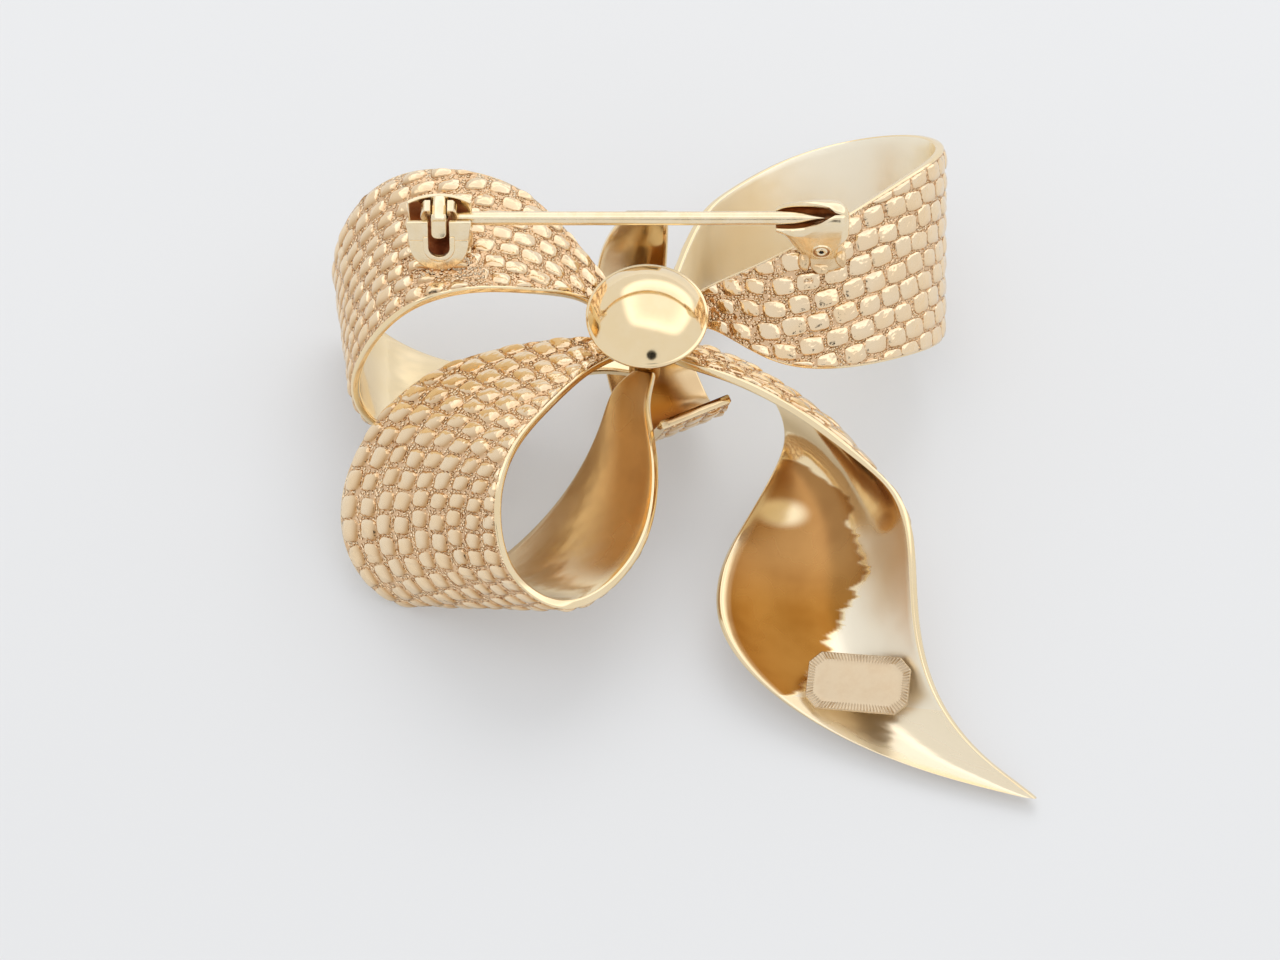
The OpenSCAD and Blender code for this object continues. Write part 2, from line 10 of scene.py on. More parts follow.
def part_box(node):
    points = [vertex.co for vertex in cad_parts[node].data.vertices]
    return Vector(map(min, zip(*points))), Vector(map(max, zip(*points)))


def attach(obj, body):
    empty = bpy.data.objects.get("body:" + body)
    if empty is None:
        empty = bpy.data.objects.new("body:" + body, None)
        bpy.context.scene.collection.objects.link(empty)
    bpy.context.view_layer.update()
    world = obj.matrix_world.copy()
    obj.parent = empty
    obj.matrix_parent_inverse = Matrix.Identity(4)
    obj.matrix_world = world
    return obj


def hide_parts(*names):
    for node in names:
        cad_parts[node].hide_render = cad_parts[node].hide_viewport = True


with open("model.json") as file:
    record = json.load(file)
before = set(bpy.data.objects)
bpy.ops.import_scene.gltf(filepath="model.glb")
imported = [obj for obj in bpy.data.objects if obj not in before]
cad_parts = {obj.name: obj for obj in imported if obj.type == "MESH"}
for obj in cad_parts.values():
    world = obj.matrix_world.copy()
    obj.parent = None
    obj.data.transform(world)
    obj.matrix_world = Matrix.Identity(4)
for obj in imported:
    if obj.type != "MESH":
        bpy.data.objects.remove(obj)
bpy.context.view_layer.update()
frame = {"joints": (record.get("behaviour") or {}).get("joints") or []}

MM = 0.001

# Sizes in millimetres, as in the CAD
BOW_H = 20.0
WALL = 0.7
RELIEF = 0.3
SOLDER_GAP = 0.08
CORE_D = 5.0
CORE_TIP_D = 2.2
CORE_END = 6.8
CAP_D = 9.8
CAP_RIM = 0.35
CAP_RISE = 2.2
CAP_Z = 15.0
STEM_D = 1.1
HOOK_D = 2.9
HOOK_W = 1.04
JOINT_W = 5.2
JOINT_H = 3.75
CAD_SHEET = 0.5
CHANNEL_W = 1.9
SHIELD_LEAN = 28
FOOT_W = 3.6
FOOT_LEN = 3.0
PLATE_LEN, PLATE_W, PLATE_T = 8.2, 4.6, 0.35
PLATE_NOTCH = 0.9
PLATE_STAND = 0.8


def node_box(name):
    """The low and high corners of a CAD node in millimetres."""
    low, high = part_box(name)
    return np.array(low) / MM, np.array(high) / MM


def working_middle():
    """Where the CAD's working point, the middle of the cap's core, lies in the frame."""
    low, high = node_box("back_cap")
    return np.array([*(low + high)[:2] / 2, low[2] - CORE_END])


MIDDLE = working_middle()
BAR = np.array(frame["joints"][0]["pos_m"]) / MM
STEM_Z = BAR[2] - (HOOK_D - STEM_D) / 2
JOINT_BASE = node_box("pin_joint")[0][2]
POINT_X = node_box("pin_stem")[1][0]

# The camera, as the photograph's perspective gives it
SHOT_AIM = (-2.778, -4.098, 7.822)
SHOT_ELEVATION = 60
SHOT_DISTANCE = 300
SENSOR = 36.0
LENS = 105.47


def make_camera():
    data = bpy.data.cameras.new("photo_camera")
    data.sensor_width = SENSOR
    data.lens = LENS
    data.clip_start = 0.01
    data.clip_end = 10
    cam = bpy.data.objects.new("photo_camera", data)
    elevation = radians(SHOT_ELEVATION)
    look = Vector((0, cos(elevation), -sin(elevation)))
    cam.location = Vector(SHOT_AIM) * MM - look * SHOT_DISTANCE * MM
    cam.rotation_euler = look.to_track_quat("-Z", "Y").to_euler()
    bpy.context.scene.collection.objects.link(cam)
    bpy.context.scene.camera = cam


# The light tent's soft square light, and the dark spot of the camera's lens in its wall.
# Glows are strengths, half sizes are tangents and the lens is an angle in degrees.
TENT_COLOUR = (0.985, 0.99, 1.0)
TENT_GLOW = 0.84
SOFTBOX_TOWARD = (0.26, 0.5, 0.83)
SOFTBOX_HALF_TAN = (0.98, 0.96)
SOFTBOX_GLOW = 1.5
SOFTBOX_SQUARENESS = 5.0
SOFTBOX_DIP = -0.35
LENS_TOWARD = (0.12, -0.80, 0.59)
LENS_HALF_ANGLE = 7.5
LENS_GLOW = 0.03
LENS_BLUR = 0.002

# A lamp behind the tent's wall, in metres and watts
KEY_TOWARD = (0.12, 0.66, 0.74)
KEY_DISTANCE = 0.5
KEY_SIZE = 0.34
KEY_WATTS = 0.85


def make_tent():
    """A light tent: an even pale sky with one soft square light high on its far side."""
    world = bpy.data.worlds.new("tent")
    world.use_nodes = True
    tree = world.node_tree
    toward = node(tree, "ShaderNodeTexCoord").outputs["Generated"]

    def part_along(axis):
        inputs = {0: toward, 1: tuple(axis)}
        return node(tree, "ShaderNodeVectorMath", inputs, operation="DOT_PRODUCT").outputs["Value"]

    ez = Vector(SOFTBOX_TOWARD).normalized()
    ex = (Vector((1, 0, 0)) - ez * ez.x).normalized()
    ey = ez.cross(ex)
    depth = math_node("MAXIMUM", part_along(ez), 0.02)
    powers = []
    for axis, half in zip((ex, ey), SOFTBOX_HALF_TAN):
        across = math_node("ABSOLUTE", math_node("DIVIDE", part_along(axis), depth), 0)
        share = math_node("DIVIDE", across, half)
        powers.append(math_node("POWER", share, SOFTBOX_SQUARENESS))
    edge = math_node("POWER", math_node("ADD", *powers), 1 / SOFTBOX_SQUARENESS)
    glow = spread(edge, 0.84, 1.2, SOFTBOX_GLOW - TENT_GLOW, 0)
    dip = spread(edge, 0.3, 0.85, SOFTBOX_DIP, 0)
    sky = math_node("ADD", math_node("ADD", glow, dip), TENT_GLOW)
    rim = cos(radians(LENS_HALF_ANGLE))
    facing = part_along(Vector(LENS_TOWARD).normalized())
    lens = spread(facing, rim - LENS_BLUR, rim + LENS_BLUR, 1, LENS_GLOW)
    strength = math_node("MULTIPLY", sky, lens)
    feed(tree.nodes["Background"], {"Strength": strength, "Color": TENT_COLOUR})
    bpy.context.scene.world = world


def make_key_lamp():
    """A lamp that draws the soft shadows on the floor and isn't mirrored in the metal."""
    data = bpy.data.lights.new("key", "AREA")
    data.shape = "DISK"
    data.size = KEY_SIZE
    data.energy = KEY_WATTS
    key = bpy.data.objects.new("key", data)
    bpy.context.collection.objects.link(key)
    key.location = Vector(KEY_TOWARD).normalized() * KEY_DISTANCE
    key.rotation_euler = key.location.to_track_quat("Z", "Y").to_euler()
    key.visible_glossy = False


# Shader nodes

def new_material(name):
    m = bpy.data.materials.new(name)
    m.use_nodes = True
    tree = m.node_tree
    return m, tree, tree.nodes["Principled BSDF"]


def feed(n, inputs):
    """Gives a node's inputs a number, a colour, a vector or another node's output."""
    for key, value in inputs.items():
        socket = n.inputs[key]
        if isinstance(value, tuple):
            socket.default_value = (*value, 1)[:len(socket.default_value)]
        elif isinstance(value, (int, float)):
            socket.default_value = value
        else:
            n.id_data.links.new(value, socket)


def node(tree, kind, inputs=None, **settings):
    n = tree.nodes.new(kind)
    for key, value in settings.items():
        setattr(n, key, value)
    feed(n, inputs or {})
    return n


def after(value, kind, inputs, **settings):
    """A node in the same tree as the output that it takes up."""
    return node(value.id_data, kind, inputs, **settings)


def math_node(operation, a, b):
    value = b if isinstance(a, float) else a
    return after(value, "ShaderNodeMath", {0: a, 1: b}, operation=operation).outputs[0]


def over_zero(value, factor=1.0):
    """The value times a factor, or 0 where that is negative."""
    return math_node("MAXIMUM", math_node("MULTIPLY", value, factor), 0.0)


def mix(factor, a, b):
    """The colour a where the factor is 0 and b where it is 1."""
    inputs = {"Factor": factor, "A": a, "B": b}
    return after(factor, "ShaderNodeMix", inputs, data_type="RGBA").outputs["Result"]


def noise(vector, scale, detail=3.0, rough=0.5, stretch=None):
    if stretch:
        inputs = {"Vector": vector, "Scale": stretch}
        vector = after(vector, "ShaderNodeMapping", inputs).outputs[0]
    inputs = {"Vector": vector, "Scale": scale, "Detail": detail, "Roughness": rough}
    return after(vector, "ShaderNodeTexNoise", inputs).outputs["Fac"]


def bump(height, depth, strength=1.0, before=None):
    """A bump of a depth in millimetres, added to the one before."""
    inputs = {"Height": height, "Distance": depth * MM, "Strength": strength}
    if before:
        inputs["Normal"] = before
    return after(height, "ShaderNodeBump", inputs).outputs["Normal"]


def spread(value, low, high, out_low, out_high):
    """A smooth step from out_low at low to out_high at high."""
    inputs = {"Value": value, "From Min": low, "From Max": high, "To Min": out_low, "To Max": out_high}
    n = after(value, "ShaderNodeMapRange", inputs, interpolation_type="SMOOTHSTEP")
    return n.outputs["Result"]


def painted(tree, name):
    """A value that the mesh carries at each of its points."""
    return node(tree, "ShaderNodeAttribute", attribute_name=name).outputs["Fac"]


def skin_map(tree):
    """Places on a ribbon's skin in millimetres along and across."""
    return node(tree, "ShaderNodeUVMap", uv_map="skin").outputs[0]


def set_metal(shader, colour, rough, normal):
    feed(shader, {"Base Color": colour, "Roughness": rough, "Metallic": 1.0, "Normal": normal})


# Materials

GOLD_SCALE = (0.94, 0.715, 0.455)
GOLD_BEAD = (0.97, 0.78, 0.54)
GOLD_BEAD_GAP_SHADE = (0.78, 0.53, 0.32)
GOLD_FOOT_SHADE = (0.66, 0.40, 0.20)
GOLD_PAINTED_SIDE_SHADE = (0.54, 0.30, 0.115)
GOLD_PAINTED_HIGHLIGHT = (1.0, 0.83, 0.60)
GOLD_BARE = (0.94, 0.75, 0.46)
GOLD_BARE_LIGHT = (0.96, 0.79, 0.52)
GOLD_PAINTED_SHEEN = (1.0, 0.925, 0.765)
GOLD_PAINTED_SHADE = (0.32, 0.125, 0.018)
GOLD_PAINTED_SHADE_PALE = (0.44, 0.20, 0.04)
WORN_BEAD = tuple(0.96 * c for c in GOLD_BEAD)
BEADS_PER_MM = 3.3
BEAD_UNEVENNESS = 0.75


def scaled_gold():
    """Cast snakeskin: polished scales over a finely beaded, duller ground, with painted shade between
    the beads and round each scale's foot, and a painted highlight on one side of each scale and
    painted shade on the other.
    """
    m, tree, shader = new_material("scaled_gold")
    uv = skin_map(tree)
    raised = painted(tree, "raised")
    on_scale = spread(raised, 0.1, 0.3, 0, 1)
    off_scale = math_node("SUBTRACT", 1.0, on_scale)
    beads = node(tree, "ShaderNodeTexVoronoi", feature="F1", inputs={
        "Vector": uv, "Scale": BEADS_PER_MM, "Randomness": BEAD_UNEVENNESS})
    dome = spread(beads.outputs["Distance"], 0.12, 0.66, 1, 0)
    dome = math_node("MULTIPLY", dome, off_scale)
    ripple = noise(uv, 0.9, 2.0)
    pits = noise(uv, 7.0, 4.0, 0.6)
    cloud = spread(noise(uv, 0.35, 3.0), 0.3, 0.7, 0, 1)

    # The ground between the scales with painted shade in its bead gaps, the scales with a painted
    # highlight on one side and painted shade on the other, and their outline of painted shade
    # Painted shade in the gaps between the ground's beads
    ground = mix(spread(dome, 0.0, 0.5, 0, 1), GOLD_BEAD_GAP_SHADE, GOLD_BEAD)
    lit = painted(tree, "lit")
    top = mix(cloud, GOLD_SCALE, WORN_BEAD)
    # A painted highlight on each scale's bright side and painted shade on its other side
    top = mix(over_zero(lit), top, GOLD_PAINTED_HIGHLIGHT)
    top = mix(over_zero(lit, -1.0), top, GOLD_PAINTED_SIDE_SHADE)
    # Painted shade: a dark outline round each scale's foot
    foot = math_node("MULTIPLY", spread(raised, 0.01, 0.12, 0, 0.55),
                     spread(raised, 0.16, 0.45, 1, 0))
    colour = mix(foot, mix(on_scale, ground, top), GOLD_FOOT_SHADE)

    rough = math_node("ADD", spread(on_scale, 0, 1, 0.13, 0.12),
                      spread(pits, 0.35, 0.75, -0.03, 0.06))
    normal = bump(ripple, 0.3, 0.7)
    normal = bump(pits, 0.012, 0.7, normal)
    normal = bump(dome, 0.19, 1.0, normal)
    set_metal(shader, colour, rough, normal)
    return m


def mirror_gold():
    """The ribbons' polished faces and rims, with painted shade and painted dark reflection
    where the mesh's value deep is over 0, and a rougher painted sheen where it is under 0."""
    m, tree, shader = new_material("mirror_gold")
    uv = skin_map(tree)
    # deep carries painted light: painted shade and dark reflection above 0, painted sheen below 0
    deep = painted(tree, "deep")
    painted_sheen = over_zero(deep, -1.0)
    grain = noise(uv, 1.0, 3.0, 0.5, (0.25, 9.0, 1.0))
    wave = noise(uv, 0.22, 2.0)
    cloud = noise(uv, 0.16, 3.0, 0.5)
    tone = spread(cloud, 0.3, 0.7, 0, 1)
    bright = mix(tone, GOLD_BARE, GOLD_BARE_LIGHT)
    dark = mix(tone, GOLD_PAINTED_SHADE, GOLD_PAINTED_SHADE_PALE)
    colour = mix(painted_sheen, mix(over_zero(deep), bright, dark), GOLD_PAINTED_SHEEN)
    rough = math_node("ADD", over_zero(painted_sheen, 0.26), over_zero(deep, 0.14))
    rough = math_node("ADD", spread(cloud, 0.35, 0.75, 0.10, 0.19), rough)
    normal = bump(wave, 0.3, 0.3)
    normal = bump(grain, 0.004, 0.6, normal)
    set_metal(shader, colour, rough, normal)
    return m


# Two tones, the range of roughness, the fineness of the grain and the depths of the
# grain and the waviness in millimetres
PLAIN_GOLDS = {
    # LIGHT, DEEP, ROUGH, GRAIN_SCALE, GRAIN_DEPTH, WAVE_DEPTH
    "cap_gold": ((0.95, 0.765, 0.485), (0.94, 0.745, 0.455), (0.08, 0.14), 2600.0, 0.002, 0.02),
    "finding_gold": ((0.95, 0.81, 0.58), (0.92, 0.75, 0.49), (0.16, 0.28), 2200.0, 0.008, 0.04),
    "solder_gold": ((0.86, 0.66, 0.41), (0.74, 0.50, 0.27), (0.16, 0.36), 1500.0, 0.03, 0.4),
    "plate_gold": ((0.74, 0.60, 0.42), (0.66, 0.51, 0.34), (0.38, 0.52), 3000.0, 0.01, 0.03),
    # The last two are painted shade: dark tones for the joint's floor and the catch's inside, where
    # little light reaches
    "shade_gold": ((0.42, 0.16, 0.07), (0.20, 0.06, 0.03), (0.30, 0.45), 2000.0, 0.01, 0.03),
    "hood_shade_gold": ((0.62, 0.36, 0.18), (0.40, 0.19, 0.08), (0.28, 0.42), 2000.0, 0.01, 0.03),
}


def plain_gold(name):
    """A smooth metal, with a faint grain, clouding and a soft waviness."""
    light, deep, rough, grain_scale, grain_depth, wave_depth = PLAIN_GOLDS[name]
    m, tree, shader = new_material(name)
    place = node(tree, "ShaderNodeTexCoord").outputs["Object"]
    cloud = noise(place, 900.0, 4.0, 0.6)
    grain = noise(place, grain_scale, 3.0, 0.5, (0.2, 1.0, 1.0))
    colour = mix(spread(cloud, 0.3, 0.7, 0, 1), deep, light)
    normal = bump(grain, grain_depth, 0.6)
    normal = bump(noise(place, 260.0, 2.0), wave_depth, 0.6, normal)
    set_metal(shader, colour, spread(cloud, 0.35, 0.75, *rough), normal)
    return m


def eye_painted_shade():
    """Painted shade: a near black for the unlit bottom of the catch's punched eye."""
    m, tree, shader = new_material("eye_painted_shade")
    feed(shader, {"Base Color": (0.02, 0.012, 0.006), "Roughness": 0.7})
    return m


PAPER_TONES = ((0.43, 0.433, 0.437), (0.438, 0.441, 0.445))
PAPER_GLOW_COLOUR = (0.975, 0.985, 1.0)
PAPER_GLOW = 0.28


def floor_paper():
    """The tent's pale base, which is lit a little from under itself."""
    m, tree, shader = new_material("floor_paper")
    place = node(tree, "ShaderNodeTexCoord").outputs["Object"]
    tone = spread(noise(place, 8.0, 3.0), 0.3, 0.7, 0, 1)
    feed(shader, {
        "Base Color": mix(tone, *PAPER_TONES), "Roughness": 0.6, "Specular IOR Level": 0.2,
        "Emission Color": PAPER_GLOW_COLOUR, "Emission Strength": PAPER_GLOW})
    return m


# Meshes

def make_mesh(name, points, faces, materials, index=None, uv=None, values=None, smooth=True):
    """An object from points in millimetres and faces, with materials by face."""
    mesh = bpy.data.meshes.new(name)
    mesh.from_pydata((np.asarray(points) * MM).tolist(), [], faces)
    for m in materials:
        mesh.materials.append(m)
    if index is not None:
        mesh.polygons.foreach_set("material_index", np.asarray(index, dtype=np.int32))
    mesh.polygons.foreach_set("use_smooth", np.full(len(mesh.polygons), smooth))
    if uv is not None:
        corner = np.zeros(len(mesh.loops), dtype=np.int32)
        mesh.loops.foreach_get("vertex_index", corner)
        layer = mesh.uv_layers.new(name="skin")
        layer.data.foreach_set("uv", np.asarray(uv)[corner].astype(np.float32).ravel())
    for label, value in (values or {}).items():
        layer = mesh.attributes.new(label, "FLOAT", "POINT")
        layer.data.foreach_set("value", np.asarray(value, dtype=np.float32))
    mesh.update()
    obj = bpy.data.objects.new(name, mesh)
    bpy.context.scene.collection.objects.link(obj)
    return obj


def piece(obj, body, replaced):
    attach(obj, body)
    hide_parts(replaced)


def tube_faces(rings, count):
    """Faces of a tube of closed rings with count points each, then of its two ends."""
    i, j = np.meshgrid(np.arange(rings - 1), np.arange(count), indexing="ij")
    k = (j + 1) % count
    quads = np.stack([i * count + j, i * count + k, (i + 1) * count + k, (i + 1) * count + j], -1)
    first_end = list(range(count))[::-1]
    last_end = list(range((rings - 1) * count, rings * count))
    return quads.reshape(-1, 4).tolist() + [first_end, last_end]


def inside_out(faces):
    return [f[::-1] for f in faces]


def tube(name, rings, materials, kinds=None):
    """A solid from closed rings of points, with flat ends."""
    faces = tube_faces(len(rings), len(rings[0]))
    return make_mesh(name, np.concatenate(rings), faces, materials, kinds)


def full_turn(count):
    return np.linspace(0, 2 * pi, count, endpoint=False)


def xyz(x, y, z):
    """Points from their coordinates, each of them an array or one number for all."""
    return np.stack(np.broadcast_arrays(x, y, z), -1)


def run_along(points):
    """The length along a line of points, from 0 at its first."""
    steps = np.linalg.norm(np.diff(points, axis=0), axis=1)
    return np.concatenate([[0], np.cumsum(steps)])


def unit(v):
    return v / np.maximum(np.linalg.norm(v, axis=-1, keepdims=True), 1e-12)


def smooth(x):
    """A smooth step from 0 at 0 to 1 at 1."""
    x = np.clip(x, 0, 1)
    return x * x * (3 - 2 * x)


def signed_power(x, power):
    return copysign(abs(x) ** power, x)


def rounded_solid(outline, low, high, matrix, metal, bevel=0.08, segments=3):
    """An outline in its own plane, extruded from low to high, with rounded edges."""
    n = len(outline)
    points = [matrix @ Vector((x, y, z)) for z in (low, high) for x, y in outline]
    faces = [list(range(n))[::-1], list(range(n, 2 * n))]
    faces += [[i, (i + 1) % n, n + (i + 1) % n, n + i] for i in range(n)]
    obj = make_mesh("part", points, faces, [metal], smooth=False)
    rounding = obj.modifiers.new("rounding", "BEVEL")
    rounding.width = bevel * MM
    rounding.segments = segments
    rounding.limit_method = "ANGLE"
    rounding.angle_limit = radians(35)
    rounding.harden_normals = True
    graph = bpy.context.evaluated_depsgraph_get()
    sharp = obj.data
    obj.data = bpy.data.meshes.new_from_object(obj.evaluated_get(graph))
    obj.modifiers.clear()
    bpy.data.meshes.remove(sharp)
    return obj


def join(name, parts):
    """One object from several, which are made in the same place."""
    verts, faces, kinds, materials = [], [], [], []
    for part in parts:
        data = part.data
        base = len(verts)
        verts += [v.co / MM for v in data.vertices]
        materials += [m for m in data.materials if m not in materials]
        for p in data.polygons:
            faces.append([base + i for i in p.vertices])
            kinds.append(materials.index(data.materials[p.material_index]))
        bpy.data.objects.remove(part)
        bpy.data.meshes.remove(data)
    obj = make_mesh(name, verts, faces, materials, kinds)
    obj.data.set_sharp_from_angle(angle=radians(42))
    return obj


def plane_matrix(origin, x_axis, y_axis):
    x = Vector(x_axis).normalized()
    y = Vector(y_axis).normalized()
    m = Matrix((x, y, x.cross(y))).transposed().to_4x4()
    m.translation = Vector(origin)
    return m


def leaning_plane(x, low, high):
    """A plane whose X is the frame's and whose Y runs from low to high, each a (y, z)
    place, and the length between them."""
    rise = (high[0] - low[0], high[1] - low[1])
    return plane_matrix((x, *low), (1, 0, 0), (0, *rise)), hypot(*rise)


def oblong(half, near, far):
    return [(-half, near), (half, near), (half, far), (-half, far)]


def arc(cx, cy, r, a0, a1, count):
    """Points of an arc from the angle a0 to a1 in degrees."""
    return [(cx + r * cos(a), cy + r * sin(a))
            for a in np.radians(np.linspace(a0, a1, count))]


def u_outline(half, run, centre, radius, count=33, power=2.0):
    """A U from its top left round to its top right: straight sides and a round foot."""
    pts = [(half * signed_power(cos(a), 2 / power),
            centre - radius * abs(sin(a)) ** (2 / power))
           for a in np.linspace(pi, 2 * pi, count)]
    return [(-half, run)] + pts + [(half, run)] if centre < run else pts


def solder_blob(centre, radii, seed, metal, seat, tilt=0.0):
    """A lump of set solder: a flattened ball with a gentle waviness, turned about X by
    tilt and cut off level by its seat, which is a point and an upright."""
    cols, rows = 40, 24
    b, a = np.meshgrid(np.linspace(0.02, pi - 0.02, rows), full_turn(cols), indexing="ij")
    wobble = (1 + 0.10 * np.sin(3 * a + seed) * np.sin(b) + 0.07 * np.sin(2 * a + 1.7 * seed)
              + 0.05 * np.sin(4 * b + seed))
    ball = xyz(np.cos(a) * np.sin(b), np.sin(a) * np.sin(b), -np.cos(b))
    ball = (ball * np.array(radii) * wobble[..., None]).reshape(-1, 3)
    turn = np.array(Matrix.Rotation(tilt, 3, "X"))
    pts = ball @ turn.T + np.array(centre)
    spot, up = np.array(seat[0]), np.array(seat[1])
    under = np.minimum((pts - spot) @ up, 0)
    return tube("solder", (pts - under[:, None] * up).reshape(rows, cols, 3), [metal])


# The ribbons' sections, as in the CAD. OUT, SIDE and LIFT place a section's centre, as
# shares of the ribbon's reach, its spread and the bow's height. WIDTH is a share of the
# ribbon's width. TURN and TIP are the angles, in plan and above level, of the line from
# the section's near edge to its far edge. CUP is the sag as a share of the width.
OUT, SIDE, LIFT, WIDTH, TURN, TIP, CUP = range(7)

UPPER_ROWS = [
    [0.20, 0.72, 0.69, 0.28, 92, -8, 0],
    [0.38, 0.98, 0.82, 0.62, 90, -8, 0],
    [0.60, 1.04, 0.90, 0.83, 92, -11, 0],
    [0.83, 0.92, 0.86, 0.96, 95, -12, 0],
    [0.98, 0.70, 0.63, 0.97, 98, -13, 0],
    [1.02, 0.44, 0.36, 0.91, 99, -18, 0],
    [0.89, 0.16, 0.155, 0.82, 94, -22, 0],
    [0.65, -0.06, 0.175, 0.54, 90, -23, 0],
    [0.41, -0.08, 0.28, 0.27, 91, -22, 0],
    [0.22, 0.10, 0.35, 0.14, 93, -18, 0],
]
LOWER_ROWS = [
    [0.30, -0.12, 0.66, 0.24, 113, -19, 0],
    [0.52, -0.24, 0.70, 0.49, 118, -22, 0],
    [0.78, -0.40, 0.70, 0.75, 125, -23, 0],
    [0.95, -0.60, 0.57, 0.96, 136, -25, 0],
    [0.97, -0.82, 0.37, 1.03, 149, -26, 0],
    [0.74, -0.98, 0.25, 0.96, 160, -30, 0],
    [0.43, -0.86, 0.25, 0.82, 156, -35, 0],
    [0.19, -0.62, 0.31, 0.65, 143, -37, 0],
    [0.09, -0.36, 0.38, 0.44, 136, -35, 0],
    [0.08, -0.18, 0.41, 0.24, 140, -30, 0],
]
RIGHT_ROWS = [
    [0.22, 0.13, 0.67, 0.22, 95, 28, 0],
    [0.43, 0.03, 0.765, 0.54, 90, 32, 0],
    [0.67, 0.12, 0.80, 0.77, 90, 33, 0],
    [0.88, 0.33, 0.735, 0.91, 90, 35, 0],
    [1.00, 0.59, 0.56, 0.98, 90, 36, 0],
    [0.95, 0.86, 0.36, 0.97, 92, 35, 0],
    [0.75, 1.03, 0.225, 0.84, 93, 35, 0],
    [0.50, 1.04, 0.22, 0.63, 92, 34, 0],
    [0.28, 0.86, 0.28, 0.47, 92, 34, 0],
    [0.17, 0.65, 0.35, 0.34, 97, 34, 0],
]
TAIL_ROWS = [
    [0.15, -0.05, 0.57, 0.30, 84, -39, 0.05],
    [0.30, -0.10, 0.53, 0.44, 82, -50, 0.08],
    [0.425, -0.19, 0.43, 0.64, 118, -57, 0.15],
    [0.48, -0.32, 0.37, 0.80, 160, -34, 0.24],
    [0.455, -0.47, 0.34, 0.95, 172, -15, 0.25],
    [0.45, -0.62, 0.27, 0.98, 175, -6, 0.24],
    [0.52, -0.75, 0.18, 0.89, 173, -3, 0.19],
    [0.66, -0.86, 0.11, 0.72, 171, -4, 0.13],
    [0.835, -0.94, 0.07, 0.46, 171, -4, 0.09],
    [1.00, -0.99, 0.05, 0.06, 172, -4, 0.05],
]
KNOT_ROWS = [
    [0.00, 0.56, 0.71, 0.46, 0, 0, 0],
    [-0.10, 0.50, 0.62, 0.66, 2, 0, 0],
    [-0.16, 0.44, 0.50, 0.76, 4, 0, 0],
    [-0.17, 0.35, 0.36, 0.78, 8, 0, 0],
    [-0.06, 0.22, 0.24, 0.90, 12, 0, 0],
    [0.06, 0.07, 0.18, 0.97, 16, 0, 0],
    [0.18, -0.08, 0.18, 1.00, 19, 0, 0],
    [0.30, -0.19, 0.24, 0.95, 23, 0, 0],
    [0.41, -0.26, 0.34, 0.88, 25, 0, 0],
    [0.48, -0.30, 0.45, 0.83, 25, 0, 0],
    [0.52, -0.33, 0.54, 0.81, 25, 0, 0],
]

# A ribbon's end at the core: the angle round it, the share of the bow's height, the
# share of the ribbon's width, and the TURN and TIP of that width
End = namedtuple("End", "angle lift width turn tip")
# Reach, spread and width in millimetres, the side of the scaled face and the two ends
Course = namedtuple("Course", "rows reach spread width side back front", defaults=(None, None))
COURSES = {
    "upper": Course(UPPER_ROWS, -24, 6, 16, 1, End(150, 0.645, 0.15, 70, -8),
                    End(178, 0.38, 0.125, 90, -12)),
    "lower": Course(LOWER_ROWS, -18, 21, 18, 1, End(207, 0.62, 0.11, 117, -12),
                    End(262, 0.43, 0.10, 165, -14)),
    "right": Course(RIGHT_ROWS, 24, 16, 16, -1, End(24, 0.65, 0.137, 106, 25),
                    End(40, 0.43, 0.112, 120, 22)),
    "tail": Course(TAIL_ROWS, 30, 36, 16, -1, End(332, 0.58, 0.15, 66, -30)),
    "knot": Course(KNOT_ROWS, 7.5, 19, 7.5, 1),
}
# The last station of a loop's back, and the halvings that find a station on it
BACK_END = 4
HALVINGS = 16
# Stations to each side that a ribbon's direction is taken over
NUDGE = 0.02


def end_section(end, core, ribbon_width):
    r = core / 2 + SOLDER_GAP + WALL / 4
    a = radians(end.angle)
    return [r * cos(a), r * sin(a), end.lift * BOW_H, end.width * ribbon_width,
            end.turn, end.tip, 0]


def control_sections(course):
    """Control sections of the smooth spline that runs through a course's sections."""
    p = [[r[OUT] * course.reach, r[SIDE] * course.spread, r[LIFT] * BOW_H,
          r[WIDTH] * course.width, r[TURN], r[TIP], r[CUP] * r[WIDTH] * course.width]
         for r in course.rows]
    if course.back:
        p.insert(0, end_section(course.back, CORE_D, course.width))
    if course.front:
        p.append(end_section(course.front, CORE_TIP_D, course.width))
    p = np.array(p, dtype=float)
    c = p.copy()
    c[1:-1] -= (p[:-2] - 2 * p[1:-1] + p[2:]) / 6
    return c


CURVES = {key: control_sections(course) for key, course in COURSES.items()}


def blend(c, s):
    """Sections of the uniform cubic B-spline at the stations s."""
    s = np.asarray(s, dtype=float)
    last = len(c) - 1
    i = np.clip(np.floor(s).astype(int), 0, last - 1)
    f = (s - i)[:, None]
    before = np.where(i[:, None] > 0, c[np.maximum(i - 1, 0)], 2 * c[0] - c[1])
    ahead = np.where(i[:, None] < last - 1, c[np.minimum(i + 2, last)], 2 * c[last] - c[last - 1])
    return ((1 - f) ** 3 * before + (3 * f ** 3 - 6 * f ** 2 + 4) * c[i]
            + (-3 * f ** 3 + 3 * f ** 2 + 3 * f + 1) * c[i + 1] + f ** 3 * ahead) / 6


# Section centre, line across, outer direction, width and cup at each of some stations
Places = namedtuple("Places", "mid across out width cup")


